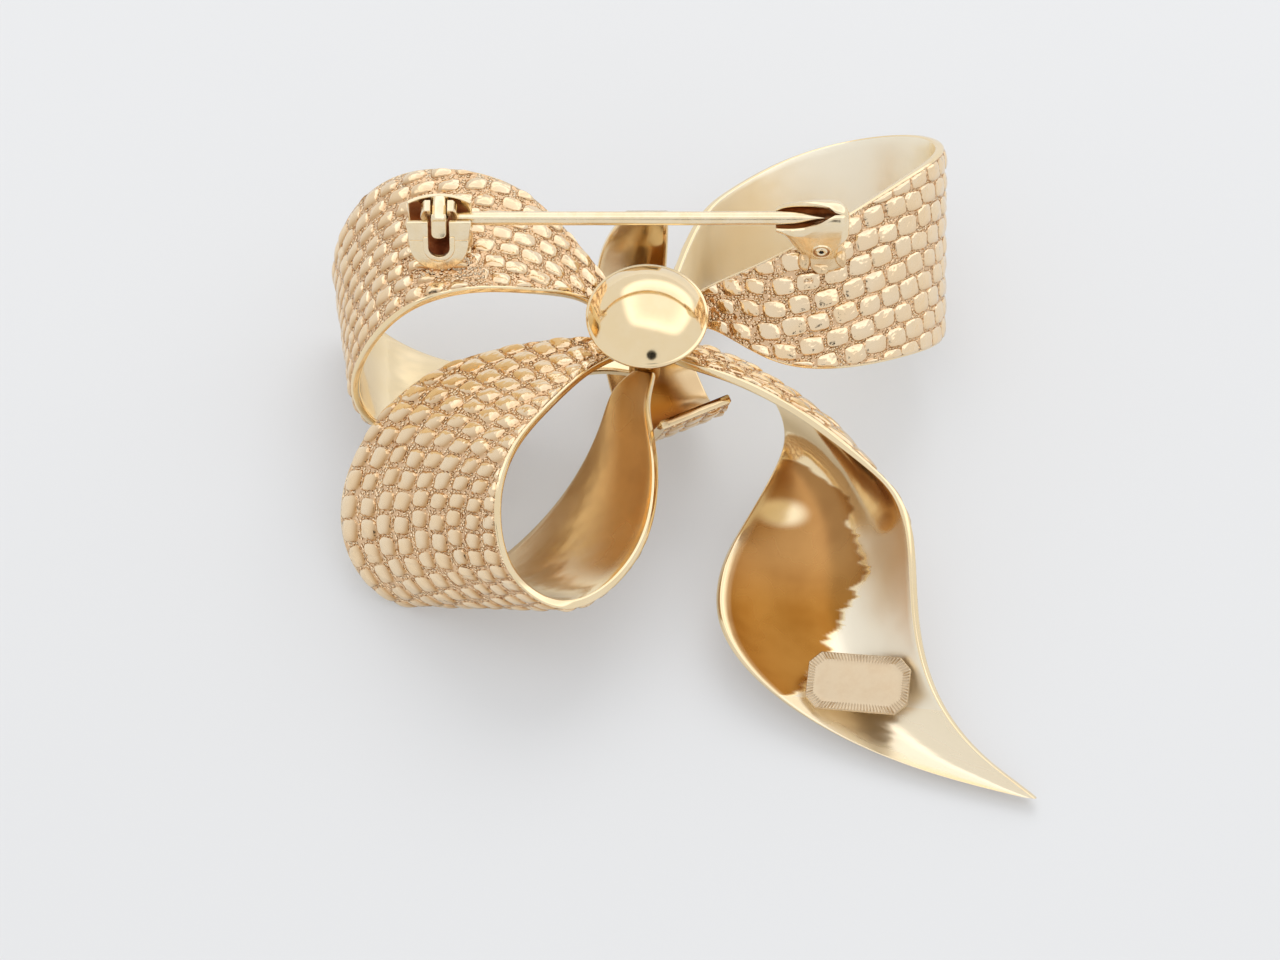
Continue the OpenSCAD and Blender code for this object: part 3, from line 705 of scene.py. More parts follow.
def places_at(key, s):
    c = CURVES[key]
    q = blend(c, s)
    turn, tip = np.radians(q[:, TURN]), np.radians(q[:, TIP])
    across = xyz(np.cos(turn) * np.cos(tip), np.sin(turn) * np.cos(tip), np.sin(tip))
    along = unit(blend(c, s + NUDGE)[:, :3] - blend(c, s - NUDGE)[:, :3])
    out = COURSES[key].side * unit(np.cross(across, along))
    return Places(q[:, :3], across, out, q[:, WIDTH], q[:, CUP])


def sheet(places, v):
    """The middle of the sheet at v across in mm, and its outer direction there."""
    t = v / (places.width / 2)[:, None]
    sag = places.cup[:, None] * (1 - t * t)
    centre = (places.mid[:, None, :] + places.across[:, None, :] * v[..., None]
              + places.out[:, None, :] * sag[..., None])
    lean = (4 * places.cup / np.maximum(places.width, 0.1))[:, None] * t
    return centre, unit(places.out[:, None, :] + places.across[:, None, :] * lean[..., None])


def skin(key, s, t, h):
    """The point at station s and share t across, h out from the middle of the sheet."""
    places = places_at(key, np.array([s]))
    centre, normal = sheet(places, t * places.width[:, None] / 2)
    return (centre + h * normal)[0, 0]


def station_at(key, x):
    """The station where a loop's back stands at the distance x from the middle."""
    low, high = 0, BACK_END
    for _ in range(HALVINGS):
        mid = (low + high) / 2
        if abs(blend(CURVES[key], [mid])[0, OUT]) < abs(x):
            low = mid
        else:
            high = mid
    return (low + high) / 2


def even_stations(c, count):
    """Stations that lie evenly along the ribbon's middle, and their lengths in mm."""
    s = np.linspace(0, len(c) - 1, 4001)
    run = run_along(blend(c, s)[:, :3])
    u = np.linspace(0, run[-1], count)
    return np.interp(u, run, s), u


# Flat soldered seats, as in the CAD, from a point on the seat: its upright, its
# direction down the loop, half its length along the pin and its range down the loop
Seat = namedtuple("Seat", "spot up down half low high")
SEAT_MARGIN = 0.9
SEAT_DEPTH = 2.5
# How far the shield's foot stands out, and the slope and edge that the catch's foot is on
SHIELD_FOOT = JOINT_H * tan(radians(SHIELD_LEAN))
FOOT_STATION = station_at("right", POINT_X - MIDDLE[0])
FOOT_SLOPE = radians(blend(CURVES["right"], [FOOT_STATION])[0, TIP])
FOOT_EDGE = skin("right", FOOT_STATION, 1, WALL / 2 + RELIEF) + MIDDLE
FOOT_OUT = np.array([0, -sin(FOOT_SLOPE), cos(FOOT_SLOPE)])
FOOT_DOWN = np.array([0, -cos(FOOT_SLOPE), -sin(FOOT_SLOPE)])
UNDER_PIN = (FOOT_EDGE[1] - BAR[1]) / cos(FOOT_SLOPE)


def joint_seat():
    spot = np.array([*BAR[:2], JOINT_BASE - SOLDER_GAP]) - MIDDLE
    reach = CHANNEL_W / 2 + CAD_SHEET + SEAT_MARGIN
    return Seat(spot, np.array([0, 0, 1]), np.array([0, 1, 0]), JOINT_W / 2 + SEAT_MARGIN,
                -reach - SHIELD_FOOT, reach)


def foot_seat():
    spot = np.array([POINT_X, *FOOT_EDGE[1:]]) - MIDDLE
    return Seat(spot, FOOT_OUT, FOOT_DOWN, FOOT_W / 2 + SEAT_MARGIN,
                UNDER_PIN - SEAT_MARGIN, UNDER_PIN + FOOT_LEN + SEAT_MARGIN)


def seat_limit(p, normal, seat):
    """How far out from p the ribbon may reach on a seat, or a large number off it."""
    r = p - seat.spot
    along_down = r @ seat.down
    inside = ((np.abs(r @ seat.up) < SEAT_DEPTH) & (np.abs(r[..., 0]) < seat.half)
              & (along_down > seat.low) & (along_down < seat.high))
    return np.where(inside, -(r @ seat.up) / (normal @ seat.up), 1e3)


# The scales on a ribbon

def scatter(a, b, seed):
    """A steady random number from 0 to 1 for each pair of whole numbers."""
    h = (a.astype(np.int64) * 374761393 + b.astype(np.int64) * 668265263 + seed * 2654435761)
    h = (h ^ (h >> 13)) * 1274126177 & 0x7FFFFFFF
    h = (h ^ (h >> 15)) * 69069 & 0x7FFFFFFF
    return ((h ^ (h >> 12)) & 0xFFFFF) / float(0xFFFFF)


# The scales of a ribbon: pitch along and across in mm, drift along for each mm across,
# share of the pitch that a scale fills at the ribbon's ends and middle, share of its
# height that is domed, shift of every other row, height in mm on the ribbon's back and
# strength of the painted highlight and painted shade on its two sides
Scales = namedtuple("Scales", "pitch slant fill pillow brick seed height contrast",
                    defaults=(0.33, 0.45))
SQUARENESS = 3.6
GROOVE = 0.22


def one_scale(scales, x, y, keep, random):
    """A scale with its middle at x 0, y 0, moved, turned, sheared and sized a little at
    random: its height, its painted light, from 1 on the side with a painted highlight to -1
    on the side with painted shade, and how far out a spot lies, from 0 to 1 on it."""
    (pu, pv), slant, _, pillow = scales[:4]
    r1, r2, r3, r4, r5 = random
    x = x - 0.14 * pu * r1
    y = y - 0.12 * pv * r2
    turn = 0.3 * r3 - 0.3 * slant
    x, y = x * np.cos(turn) + y * np.sin(turn), y * np.cos(turn) - x * np.sin(turn)
    x = x + 0.18 * y * r5
    a = 0.5 * pu * keep * (1 + 0.2 * r4)
    b = 0.5 * pv * keep * (1 + 0.16 * r3)
    d = ((np.abs(x) / a) ** SQUARENESS + (np.abs(y) / b) ** SQUARENESS) ** (1 / SQUARENESS)
    side_wall = smooth((1.1 - d) / 0.2)
    crown = 1 - np.minimum(d, 1) ** 2
    lean = (0.8 * r1 + 0.1) * x / a + (0.8 * r2 - 0.2) * y / b
    h = ((1 - pillow) * (1 + 0.3 * lean) * side_wall
         + pillow * crown * (1 + 0.5 * lean)) * (0.88 + 0.2 * r5)
    # The side of the scale that gets a painted highlight, with painted shade on the other
    side = (y / b - 0.35 * x / a) * np.minimum(d, 1) ** 1.5
    return h, np.clip(1.1 * side, -1, 1), d


def scale_height(scales, u, v, length):
    """The brick pattern of scales at u along and v across: its height, from 0 to about 1,
    and the painted light of each spot from its scale's side, from 1 for a painted highlight
    to -1 for painted shade."""
    (pu, pv), slant, fill, _, brick, seed = scales[:6]
    uu = u + slant * v
    swell = 0.5 + 0.5 * np.sin(u * 0.43 + seed) * np.sin(v * 0.5 + u * 0.21 + 2 * seed)
    from_root = smooth((1 - np.abs(2 * u / length - 1)) / 0.55)
    keep = fill[0] + (fill[1] - fill[0]) * from_root + 0.07 * (swell - 0.5)
    row0 = np.round(v / pv)
    best = np.zeros_like(u)
    lit = np.zeros_like(u)
    nearest, second = np.full_like(u, 9.0), np.full_like(u, 9.0)
    for dr in (-1, 0, 1):
        row = row0 + dr
        shift = brick * (row % 2)
        col0 = np.round(uu / pu - shift)
        for dc in (-1, 0, 1):
            col = col0 + dc
            random = [scatter(row, col, seed * 7 + k) - 0.5 for k in range(5)]
            x, y = uu - (col + shift) * pu, v - row * pv
            h, side, d = one_scale(scales, x, y, keep, random)
            lit = np.where(h > best, side, lit)
            best = np.maximum(best, h)
            second = np.minimum(second, np.maximum(nearest, d))
            nearest = np.minimum(nearest, d)
    return np.minimum(best, 1) * smooth((second - nearest) / GROOVE), lit


# Zones round a ribbon's section, and the steps of a quarter turn that round its rims
OUTER, RIM, INNER = 0, 1, 2
RIM_STEPS = (0.3, 0.65, 1.0)
RIM_R = 0.16
# Bare strip along a ribbon's rims, and how far the scales take to rise from it and from
# the ribbon's ends
BARE_RIM = 0.12
RIM_RISE = 0.2
END_RISE = 0.5
# The share of the length that is the back. High scales start at the root's height and
# reach their own over the fade, which begins at the root's share of the length.
BACK_SHARE = 0.47
ROOT_HEIGHT = 0.32
ROOT_SHARE, ROOT_FADE = 0.17, 0.18
# Least height over the middle of the sheet on a seat, and the room left under a seat
SEAT_LEAST, SEAT_ROOM = 0.1, 0.02


def rim_points(side, face, steps):
    """A quarter of a section's rounded rim, as rows of section_ring."""
    return [(side, 1 - sin(k * pi / 2),
             face * (WALL / 2 - RIM_R * (1 - cos(k * pi / 2))), RIM) for k in steps]


def section_ring(out_cols, in_cols):
    """One ring of points round a section: the share across, how many rim radii a point
    stands in from the edge, the height over the middle of the sheet and the zone."""
    ring = [(t, 1.0, WALL / 2, OUTER) for t in np.linspace(-1, 1, out_cols)]
    ring += rim_points(1, 1, RIM_STEPS) + rim_points(1, -1, RIM_STEPS[::-1])
    ring += [(t, 1.0, -WALL / 2, INNER) for t in np.linspace(1, -1, in_cols)]
    ring += rim_points(-1, -1, RIM_STEPS) + rim_points(-1, 1, RIM_STEPS[::-1])
    return np.array(ring).T


def ribbon(name, key, cells, scales, materials, seat=None, tone=None):
    """A ribbon with scales on its outer face, rounded rims and a bare inner face."""
    rows, out_cols, in_cols = cells
    s, run = even_stations(CURVES[key], rows)
    length = run[-1]
    places = places_at(key, s)
    share, edge_in, depth, zone = section_ring(out_cols, in_cols)
    half = (places.width / 2)[:, None]
    v = share * (half - np.minimum(RIM_R, half * 0.3) * edge_in)
    u = np.repeat(run[:, None], len(share), 1)
    centre, normal = sheet(places, v)

    bumps, lit = scale_height(scales, u, v, length)
    bumps = bumps * smooth((half - np.abs(v) - BARE_RIM) / RIM_RISE)
    bumps = bumps * smooth(np.minimum(u, length - u) / END_RISE) * (zone == OUTER)
    domed = smooth((u / length - ROOT_SHARE) / ROOT_FADE)
    root_height = min(scales.height, ROOT_HEIGHT)
    back_height = root_height + (scales.height - root_height) * domed
    h = depth + bumps * np.where(u < length * BACK_SHARE, back_height, RELIEF)
    if seat is not None:
        limit = np.maximum(seat_limit(centre, normal, seat) - SEAT_ROOM, SEAT_LEAST)
        covered = (zone == OUTER) & (limit < h)
        h = np.where(covered, limit, h)
        bumps = np.where(covered, 0, bumps)
    points = centre + normal * h[..., None] + MIDDLE

    faces = tube_faces(rows, len(share))
    if COURSES[key].side > 0:
        faces = inside_out(faces)
    scaled = (zone == OUTER) & (np.roll(zone, -1) == OUTER)
    kinds = [*np.tile(np.where(scaled, 0, 1), rows - 1), 1, 1]
    # Painted shade, dark reflection and sheen on the inner face, from the ribbon's tone
    deep = tone(u / length, v / half, scales.seed) * (zone == INNER) if tone else np.zeros_like(u)
    # How strong each scale's painted highlight and painted shade are, weaker near the root
    painted_side_light = scales.contrast * (0.3 + 0.7 * domed) * lit * (bumps > 0)
    return make_mesh(name, points.reshape(-1, 3), faces, materials, kinds,
                     np.stack([u, v], -1).reshape(-1, 2),
                     {"raised": bumps.ravel(), "deep": deep.ravel(), "lit": painted_side_light.ravel()})


# Where the tail's scoop turns to a painted dark reflection. U is the share of the tail's
# length and EDGE the share across, from 1 at its left rim to -1 at its right, where the
# painted reflection ends and, from a little past a third of the way along, a painted sheen begins.
SCOOP_EDGE = np.array([
    # U, EDGE
    [0.285, 1.00],
    [0.300, 0.62],
    [0.325, 0.30],
    [0.340, -0.08],
    [0.380, -0.10],
    [0.430, -0.36],
    [0.470, -0.42],
    [0.520, -0.22],
    [0.570, -0.08],
    [0.620, 0.12],
    [0.660, 0.38],
    [0.700, 0.90],
])
# Spots in the scoop, the first kept clear of the painted reflection and the other two painted dark
# reflection: the shares along and across of their middles and their half sizes
BRIGHT_SPOT = (0.368, 0.74, 0.016, 0.22)
RIM_SHADE_SPOT = (0.335, -0.86, 0.03, 0.09)
LOW_SHADE_SPOT = (0.388, -0.70, 0.014, 0.16)


def oval(u, t, spot):
    """1 inside a spot, fading to 0 round it."""
    along, across, half_along, half_across = spot
    return smooth(1.6 - np.hypot((u - along) / half_along, (t - across) / half_across))


def jitter(u, count, seed):
    """A steady broken line from -0.5 to 0.5 along u, with count corners."""
    k = np.floor(u * count)
    a, b = (scatter(k + i, np.zeros_like(k), seed) - 0.5 for i in (0, 1))
    return a + (b - a) * (u * count - k)


# Painted light in the tail's scoop: above 0 a painted dark reflection past the broken edge and in two
# spots, below 0 a painted sheen on the edge's other side
def scoop_painted_light(u, t, seed):
    teeth = 0.10 * jitter(u, 190, seed) + 0.13 * jitter(u, 70, seed + 1)
    edge = np.interp(u, SCOOP_EDGE[:, 0], SCOOP_EDGE[:, 1], 2, 2)
    main = smooth((t - edge + teeth) / 0.07 + 0.5) * smooth((0.99 - t) / 0.08)
    main *= 1 - oval(u, t, BRIGHT_SPOT)
    fuller = 0.9 + 0.1 * smooth((u - 0.40) / 0.14)
    sheen = smooth((edge - t) / 0.12) * smooth((u - 0.36) / 0.05) * (0.9 - 0.4 * (u > 0.7))
    spots = 0.85 * oval(u, t, RIM_SHADE_SPOT) + 0.8 * oval(u, t, LOW_SHADE_SPOT)
    return np.clip(main * fuller + spots, 0, 1) - sheen * (main < 0.02)


# Painted shade on the far part of the lower loop's inner face, deepest toward its end
def lower_painted_shade(u, t, seed):
    reach = smooth((0.35 - t + 4 * (u - 0.75)) / 0.9)
    rim = smooth((t + 0.97) / 0.12)
    return smooth((u - 0.62) / 0.07) * (0.32 + 0.55 * reach) * rim


# Painted sheen on the right loop's inner face beyond about two fifths of its length, with a faint
# ripple
def right_painted_sheen(u, t, seed):
    return -smooth((u - 0.42) / 0.06) * (0.9 + 0.1 * np.sin(30 * u + 2 * t))


# Painted shade on the knot's inner face, deeper over its second half and toward the rim at -1 across
def knot_painted_shade(u, t, seed):
    near = smooth((u - 0.5) / 0.1)
    return (0.05 + 0.40 * near) + (0.20 + 0.45 * near) * smooth((0.75 - t) / 0.7)


# The back cap

CAP_LIP = 0.2
CAP_EDGE_R = 0.1
CORE_STEP = 11.0


def back_cap(metal):
    """The domed cap with its thin rim, on the core that the ribbons meet."""
    cap_r, core_r, core_tip_r = CAP_D / 2, CORE_D / 2, CORE_TIP_D / 2
    dome_r = cap_r - CAP_LIP
    ball = (dome_r ** 2 + CAP_RISE ** 2) / (2 * CAP_RISE)
    edge = asin(dome_r / ball)
    profile = [(0.01, CORE_END), (core_tip_r, CORE_END), (core_tip_r, CORE_STEP - 0.1),
               (core_r - 0.05, CORE_STEP), (core_r, CORE_STEP + 0.1), (core_r, CAP_Z),
               (cap_r - CAP_EDGE_R, CAP_Z), (cap_r, CAP_Z + CAP_EDGE_R),
               (cap_r, CAP_Z + 0.24), (cap_r - 0.06, CAP_Z + CAP_RIM)]
    for k in np.linspace(1, 0.002, 46):
        a = edge * k
        height = CAP_Z + CAP_RIM + CAP_RISE - ball * (1 - cos(a))
        profile.append((ball * sin(a), height))
    turn = full_turn(160)
    rings = [xyz(r * np.cos(turn), r * np.sin(turn), z) + MIDDLE for r, z in profile]
    return tube("cap_dome", rings, [metal])


# The pin joint, whose two walls stand on either side of the hook

NEAR_Y = BAR[1] - CHANNEL_W / 2 - CAD_SHEET
FAR_Y = BAR[1] + CHANNEL_W / 2
SHEET = 0.46
SHIELD_HALF = 2.36
CREASE = 0.62
SLOT_HALF = 0.83
SLOT_FOOT = 1.2
RIM_W = 0.42
BAR_R = 0.6
TONGUE_W, TONGUE_T = 1.2, 0.36


def shield(metal):
    """The near wall: a shield bent along a crease, open in the middle for the tongue."""
    low_edge = (NEAR_Y - SHIELD_FOOT, JOINT_BASE)
    bend = (NEAR_Y - SHIELD_FOOT * (1 - CREASE) + 0.05, JOINT_BASE + JOINT_H * CREASE)
    high_edge = (NEAR_Y, JOINT_BASE + JOINT_H)
    m, run = leaning_plane(BAR[0], low_edge, bend)
    slot = u_outline(SLOT_HALF, run, SLOT_FOOT + SLOT_HALF, SLOT_HALF)[::-1]
    rim_half = SLOT_HALF + RIM_W
    rim = u_outline(rim_half, run + 0.3, SLOT_FOOT + SLOT_HALF, rim_half)
    rim += [(x, y + 0.3 if y >= run else y) for x, y in slot]
    outline = u_outline(SHIELD_HALF, run, run, run, 41, 2.3) + slot
    parts = [rounded_solid(outline, -SHEET, 0, m, metal, 0.14, 4),
             rounded_solid(rim, -0.2, 0.13, m, metal, 0.1, 4)]
    m, run = leaning_plane(BAR[0], bend, high_edge)
    for side in (-1, 1):
        half = [(side * SHIELD_HALF, -0.06), (side * (SHIELD_HALF + 0.1), run * 0.5),
                (side * JOINT_W / 2, run * 0.9), (side * (JOINT_W / 2 - 0.1), run),
                (side * SLOT_HALF, run), (side * SLOT_HALF, -0.06)]
        parts.append(rounded_solid(half[::side], -SHEET, 0, m, metal, 0.12, 4))
    return parts


def far_wall(metal):
    """The far wall bows away from the pin, and its ends turn toward the shield."""
    bow_r, sheet = 4.9, 0.3
    middle = 0.5 - bow_r
    ring = arc(0, middle, bow_r, 58, 122, 25) + arc(0, middle, bow_r - sheet, 122, 58, 25)
    m = Matrix.Translation((BAR[0], FAR_Y, JOINT_BASE))
    return rounded_solid(ring, 0, JOINT_H - 0.12, m, metal, 0.1, 4)


def joint_floor(metal, shade):
    """The floor between the two walls with a tab under the shield, both under a thin top sheet of
    painted shade.
    """
    front = NEAR_Y - SHIELD_FOOT
    m = Matrix.Translation((BAR[0], 0, JOINT_BASE))
    floor = oblong(JOINT_W / 2 - 0.15, NEAR_Y - 0.6, FAR_Y + 0.3)
    tab = oblong(1.05, front + 0.2, NEAR_Y)
    # A thin sheet of painted shade over the floor and tab, where the walls keep the light off
    painted_shade_sheet = oblong(1.0, front + 0.3, NEAR_Y)[:3] + oblong(2.3, NEAR_Y, FAR_Y + 0.1)[1:]
    painted_shade_sheet += [(-2.3, NEAR_Y), (-1.0, NEAR_Y)]
    return [rounded_solid(floor, 0, 0.42, m, metal, 0.1),
            rounded_solid(tab, 0, 0.40, m, metal, 0.1),
            rounded_solid(painted_shade_sheet, 0.2, 0.5, m, shade, 0.03, 1)]


def hinge_bar(metal):
    """The bar that the hook turns on, which is pressed nearly square."""
    count, squareness = 48, 3
    a = full_turn(count)
    cube = (np.abs(np.cos(a)) ** squareness + np.abs(np.sin(a)) ** squareness) ** (1 / squareness)
    rings = []
    for y, half in ((NEAR_Y + 0.4, BAR_R - 0.1), (NEAR_Y + 0.55, BAR_R), (FAR_Y + 0.15, BAR_R),
                    (FAR_Y + 0.3, BAR_R - 0.1)):
        rings.append(xyz(BAR[0] + half / cube * np.cos(a), y, BAR[2] + half / cube * np.sin(a)))
    return make_mesh("bar", np.concatenate(rings), inside_out(tube_faces(len(rings), count)),
                     [metal])


def tongue(metal):
    """The bar's end, folded down over the shield's slot."""
    high = (NEAR_Y + 0.86, BAR[2] + BAR_R - 0.04)
    low = (NEAR_Y - 0.66, JOINT_BASE + 2.46)
    m, run = leaning_plane(BAR[0], low, high)
    outline = u_outline(TONGUE_W / 2, run, 0.5, 0.5, 21, 2.6)
    return rounded_solid(outline, -TONGUE_T, 0, m, metal, 0.1, 4)


# Lumps of set solder: middles from the joint's near wall and from under the point, in mm
JOINT_SOLDER = [
    # X, Y, Z, RADII
    (2.38, 0.35, 1.0, (0.22, 0.65, 1.1)),
    (-2.42, 0.4, 0.6, (0.2, 0.5, 0.7)),
    (1.5, -1.55, 0.16, (0.7, 0.32, 0.28)),
    (-1.3, -1.6, 0.12, (0.6, 0.28, 0.22)),
]
CATCH_SOLDER = [
    # X, DOWN, OUT, RADII
    (-1.682, 2.05, 0.12, (0.50, 1.0, 0.42)),
    (1.218, 2.0, 0.10, (0.45, 0.75, 0.40)),
    (-0.382, 2.75, 0.08, (0.75, 0.42, 0.28)),
]


def pin_joint(metal, shade, solder):
    parts = shield(metal) + [far_wall(metal)] + joint_floor(metal, shade)
    parts += [hinge_bar(metal), tongue(metal)]
    foot = np.array([BAR[0], NEAR_Y, JOINT_BASE])
    for i, (*place, radii) in enumerate(JOINT_SOLDER):
        parts.append(solder_blob(foot + place, radii, i + 1, solder, (foot, (0, 0, 1))))
    return join("hinge_joint", parts)


# The pin: its hook, and its stem from the hook to the point

HOOK_BORE = 0.70
HOOK_MOUTH = 40
NECK_R = 0.425
# The stem's radius along X in mm, from the hook to the point
STEM_START, NECK_END = BAR[0] + 1.08, BAR[0] + 2.9
STEM_PROFILE = np.array([
    # X, RADIUS
    [STEM_START, NECK_R],
    [NECK_END, STEM_D / 2],
    [9.5, STEM_D / 2],
    [10.1, 0.49],
    [10.7, 0.38],
    [11.2, 0.27],
    [11.6, 0.18],
    [11.8, 0.13],
    [11.9, 0.10],
    [11.96, 0.05],
])


def hook(metal):
    """A strip round the bar, open at its top."""
    tip = HOOK_D / 2 * sin(radians(HOOK_MOUTH))
    outline = (arc(0, 0, HOOK_D / 2, 180 - HOOK_MOUTH, 360 + HOOK_MOUTH, 49)
               + [(0.67, tip), (0.65, 0.45)] + arc(0, 0, HOOK_BORE, 388, 152, 41)
               + [(-0.65, 0.45), (-0.67, tip)])
    m = plane_matrix((BAR[0], BAR[1] + HOOK_W / 2, BAR[2]), (1, 0, 0), (0, 0, 1))
    return rounded_solid(outline, 0, HOOK_W, m, metal, 0.06)


def pin(metal):
    point = STEM_PROFILE[-1, 0]
    xs = np.concatenate([np.linspace(STEM_START, 7.6, 60), np.linspace(7.65, point, 60)])
    radii = np.interp(xs, STEM_PROFILE[:, 0], STEM_PROFILE[:, 1])
    a = full_turn(32)
    rings = [xyz(x, BAR[1] + r * np.sin(a), STEM_Z + r * np.cos(a)) for x, r in zip(xs, radii)]
    return join("pin_and_hook", [hook(metal), tube("stem", rings, [metal])])


# The catch along X in mm: how far down from the top its far and near lips lie, in
# degrees, its outer radius and wall in mm, and how much of its body hangs below it
HOOD = np.array([
    # X, FAR, NEAR, OUTER, WALL, BODY
    [7.98, 100, 114, 1.10, 0.34, 0.0],
    [8.60, 76, 108, 1.18, 0.36, 0.1],
    [9.40, 55, 98, 1.28, 0.40, 0.45],
    [10.20, 44, 86, 1.36, 0.44, 0.85],
    [11.00, 30, 68, 1.44, 0.46, 1.0],
    [11.60, 20, 54, 1.48, 0.46, 1.0],
    [12.05, 12, 43, 1.48, 0.46, 1.0],
    [12.60, -9, 31, 1.47, 0.46, 1.0],
    [13.10, -16, 30, 1.44, 0.46, 1.0],
    [13.74, -18, 32, 1.36, 0.46, 1.0],
])
HOOD_LEFT, HOOD_RIGHT = HOOD[0, 0], HOOD[-1, 0]
NOSE = 0.75
# From where along X the hood's far side closes in, over which run, and from where the
# body's low right corner is rounded back toward the left, by how much
CLOSE_FROM, CLOSE_RUN = 12.3, 1.5
ROUND_FROM, ROUND_BY = 11.6, 0.75
# The body's outline by the angle round the point, and its place in mm from the point
BODY = np.array([
    # ANGLE, Y, Z
    [118, 1.15, -0.62],
    [134, 0.90, -1.25],
    [148, 0.45, -1.79],
    [168, -0.25, -2.24],
    [188, -1.00, -2.73],
    [204, -1.74, -3.19],
    [212, -1.90, -3.12],
    [228, -1.84, -2.35],
    [248, -1.70, -1.45],
    [268, -1.55, -0.55],
    [288, -1.38, 0.20],
    [306, -1.15, 0.85],
])


def lip(at, way, outer, wall):
    """The three points of a rounded lip at an angle in degrees, from its outer side."""
    depth, past = np.array([(0.16, 0.75), (0.5, 1.0), (0.84, 0.75)]).T
    k = np.radians(at + way * past * degrees(wall / 2 / outer))
    return (outer - depth * wall) * np.stack([np.sin(k), np.cos(k)])


def hood_section(x, count):
    """The catch's section at x: round its outside, a lip, back inside and a lip."""
    far, near, outer, wall, body = (np.interp(x, HOOD[:, 0], column) for column in HOOD.T[1:])
    angle = np.linspace(far, 360 - near, count)
    circle = np.stack([np.sin(np.radians(angle)), np.cos(np.radians(angle))])
    below = np.stack([np.interp(angle, BODY[:, 0], column) for column in BODY.T[1:]])
    hang = body * smooth((angle - 100) / 26) * smooth((322 - angle) / 34)
    outside = outer * circle + (below - outer * circle) * hang
    inside = (outer - wall) * circle[:, ::-1]
    return np.concatenate([outside, lip(360 - near, 1, outer, wall), inside,
                           lip(far, -1, outer, wall)[:, ::-1]], 1)


def hood_taper(x):
    """How much the catch narrows at its open end and round its nose."""
    if x < HOOD_LEFT + 0.2:
        return 1 - 0.04 * (1 - (x - HOOD_LEFT) / 0.2) ** 2
    into_nose = max(0.0, (x - HOOD_RIGHT + NOSE) / NOSE)
    return 1 - 0.45 * (1 - sqrt(max(0.0, 1 - into_nose ** 2)))


def barrel(metal, shade):
    """The rolled hood over the point and the body below it, with painted shade on its inside."""
    count = 72
    nose = HOOD_RIGHT - NOSE
    xs = [HOOD_LEFT, HOOD_LEFT + 0.03, HOOD_LEFT + 0.09, HOOD_LEFT + 0.18,
          *np.linspace(HOOD_LEFT + 0.3, nose, 60),
          *(nose + NOSE * np.sin(np.linspace(0.08, 1, 12) * pi / 2))]
    rings = []
    for x in xs:
        y, z = hood_section(x, count)
        taper = hood_taper(x)
        far_share = sqrt(max(0.12, 1 - (max(0, x - CLOSE_FROM) / CLOSE_RUN) ** 2))
        y = np.where(y > 0, y * far_share, y)
        low = smooth((-0.9 - z) / 1.5) * smooth((x - ROUND_FROM) / (HOOD_RIGHT - ROUND_FROM))
        rings.append(xyz(x - ROUND_BY * low, BAR[1] + y * taper - 0.3 * (1 - taper),
                         STEM_Z + z * taper - 0.4 * (1 - taper)))
    n = len(rings[0])
    kinds = [1 if count + 3 <= i % n < 2 * count + 2 else 0 for i in range((len(xs) - 1) * n)]
    return tube("barrel", rings, [metal, shade], kinds + [0, 0])


def catch_foot(solder):
    """The low foot on the loop's slope: an uneven rounded oblong of set solder."""
    spot = FOOT_EDGE + SOLDER_GAP * FOOT_OUT + UNDER_PIN * FOOT_DOWN
    m = plane_matrix((POINT_X + 0.05, *spot[1:]), (1, 0, 0), -FOOT_DOWN)
    apron = [(1.45 * signed_power(cos(a), 0.6) * (1 + 0.07 * sin(5 * a)),
              -1.7 + 1.2 * signed_power(sin(a), 0.7) * (1 + 0.04 * sin(7 * a)))
             for a in full_turn(60)]
    return rounded_solid(apron, 0.0, 0.26, m, solder, 0.12, 4)


# The punched eye on the near flank: a button in a groove of painted shade with a painted
# dark middle. The last column is 0 for the metal, 1 for the dark eye of painted shade and 2
# for the hood's painted shade.
EYE_AT = np.array([11.6, BAR[1] - 1.78, STEM_Z - 2.02])
EYE_FACING = (0.0, -0.987, 0.163)
EYE_SQUASH = 0.88
EYE_STEPS = [
    # RADIUS, HEIGHT, KIND
    (0.05, 0.03, 1),
    (0.17, 0.04, 1),
    (0.20, 0.13, 0),
    (0.34, 0.18, 0),
    (0.46, 0.13, 0),
    (0.52, 0.04, 2),
    (0.60, 0.03, 2),
    (0.66, 0.12, 0),
    (0.76, 0.13, 0),
    (0.84, -0.04, 0),
]


def punched_eye(metal, dark, shade):
    count = 48
    normal = unit(np.array(EYE_FACING))
    right = np.array([1.0, 0, 0])
    up = np.cross(normal, right) * EYE_SQUASH
    points = [EYE_AT + r * (right * cos(a) + up * sin(a)) + normal * height
              for r, height, _ in EYE_STEPS for a in full_turn(count)]
    kinds = [kind for _, _, kind in EYE_STEPS[:-1] for _ in range(count)]
    return make_mesh("punched_eye", points, tube_faces(len(EYE_STEPS), count)[:-1],
                     [metal, dark, shade], kinds + [1])


def catch(metal, dark, shade, solder):
    """A rolled hood over the point, a near flank with a punched eye, and a foot."""
    parts = [barrel(metal, shade), catch_foot(solder)]
    edge = FOOT_EDGE + SOLDER_GAP * FOOT_OUT
    for i, (x, down, out, radii) in enumerate(CATCH_SOLDER):
        spot = edge + (UNDER_PIN + down) * FOOT_DOWN + out * FOOT_OUT
        parts.append(solder_blob((POINT_X + x, *spot[1:]), radii, i + 4, solder,
                                 (edge, FOOT_OUT), FOOT_SLOPE))
    parts.append(punched_eye(metal, dark, shade))
    return join("catch_hood", parts)


# The bare plate, across the tail's scoop

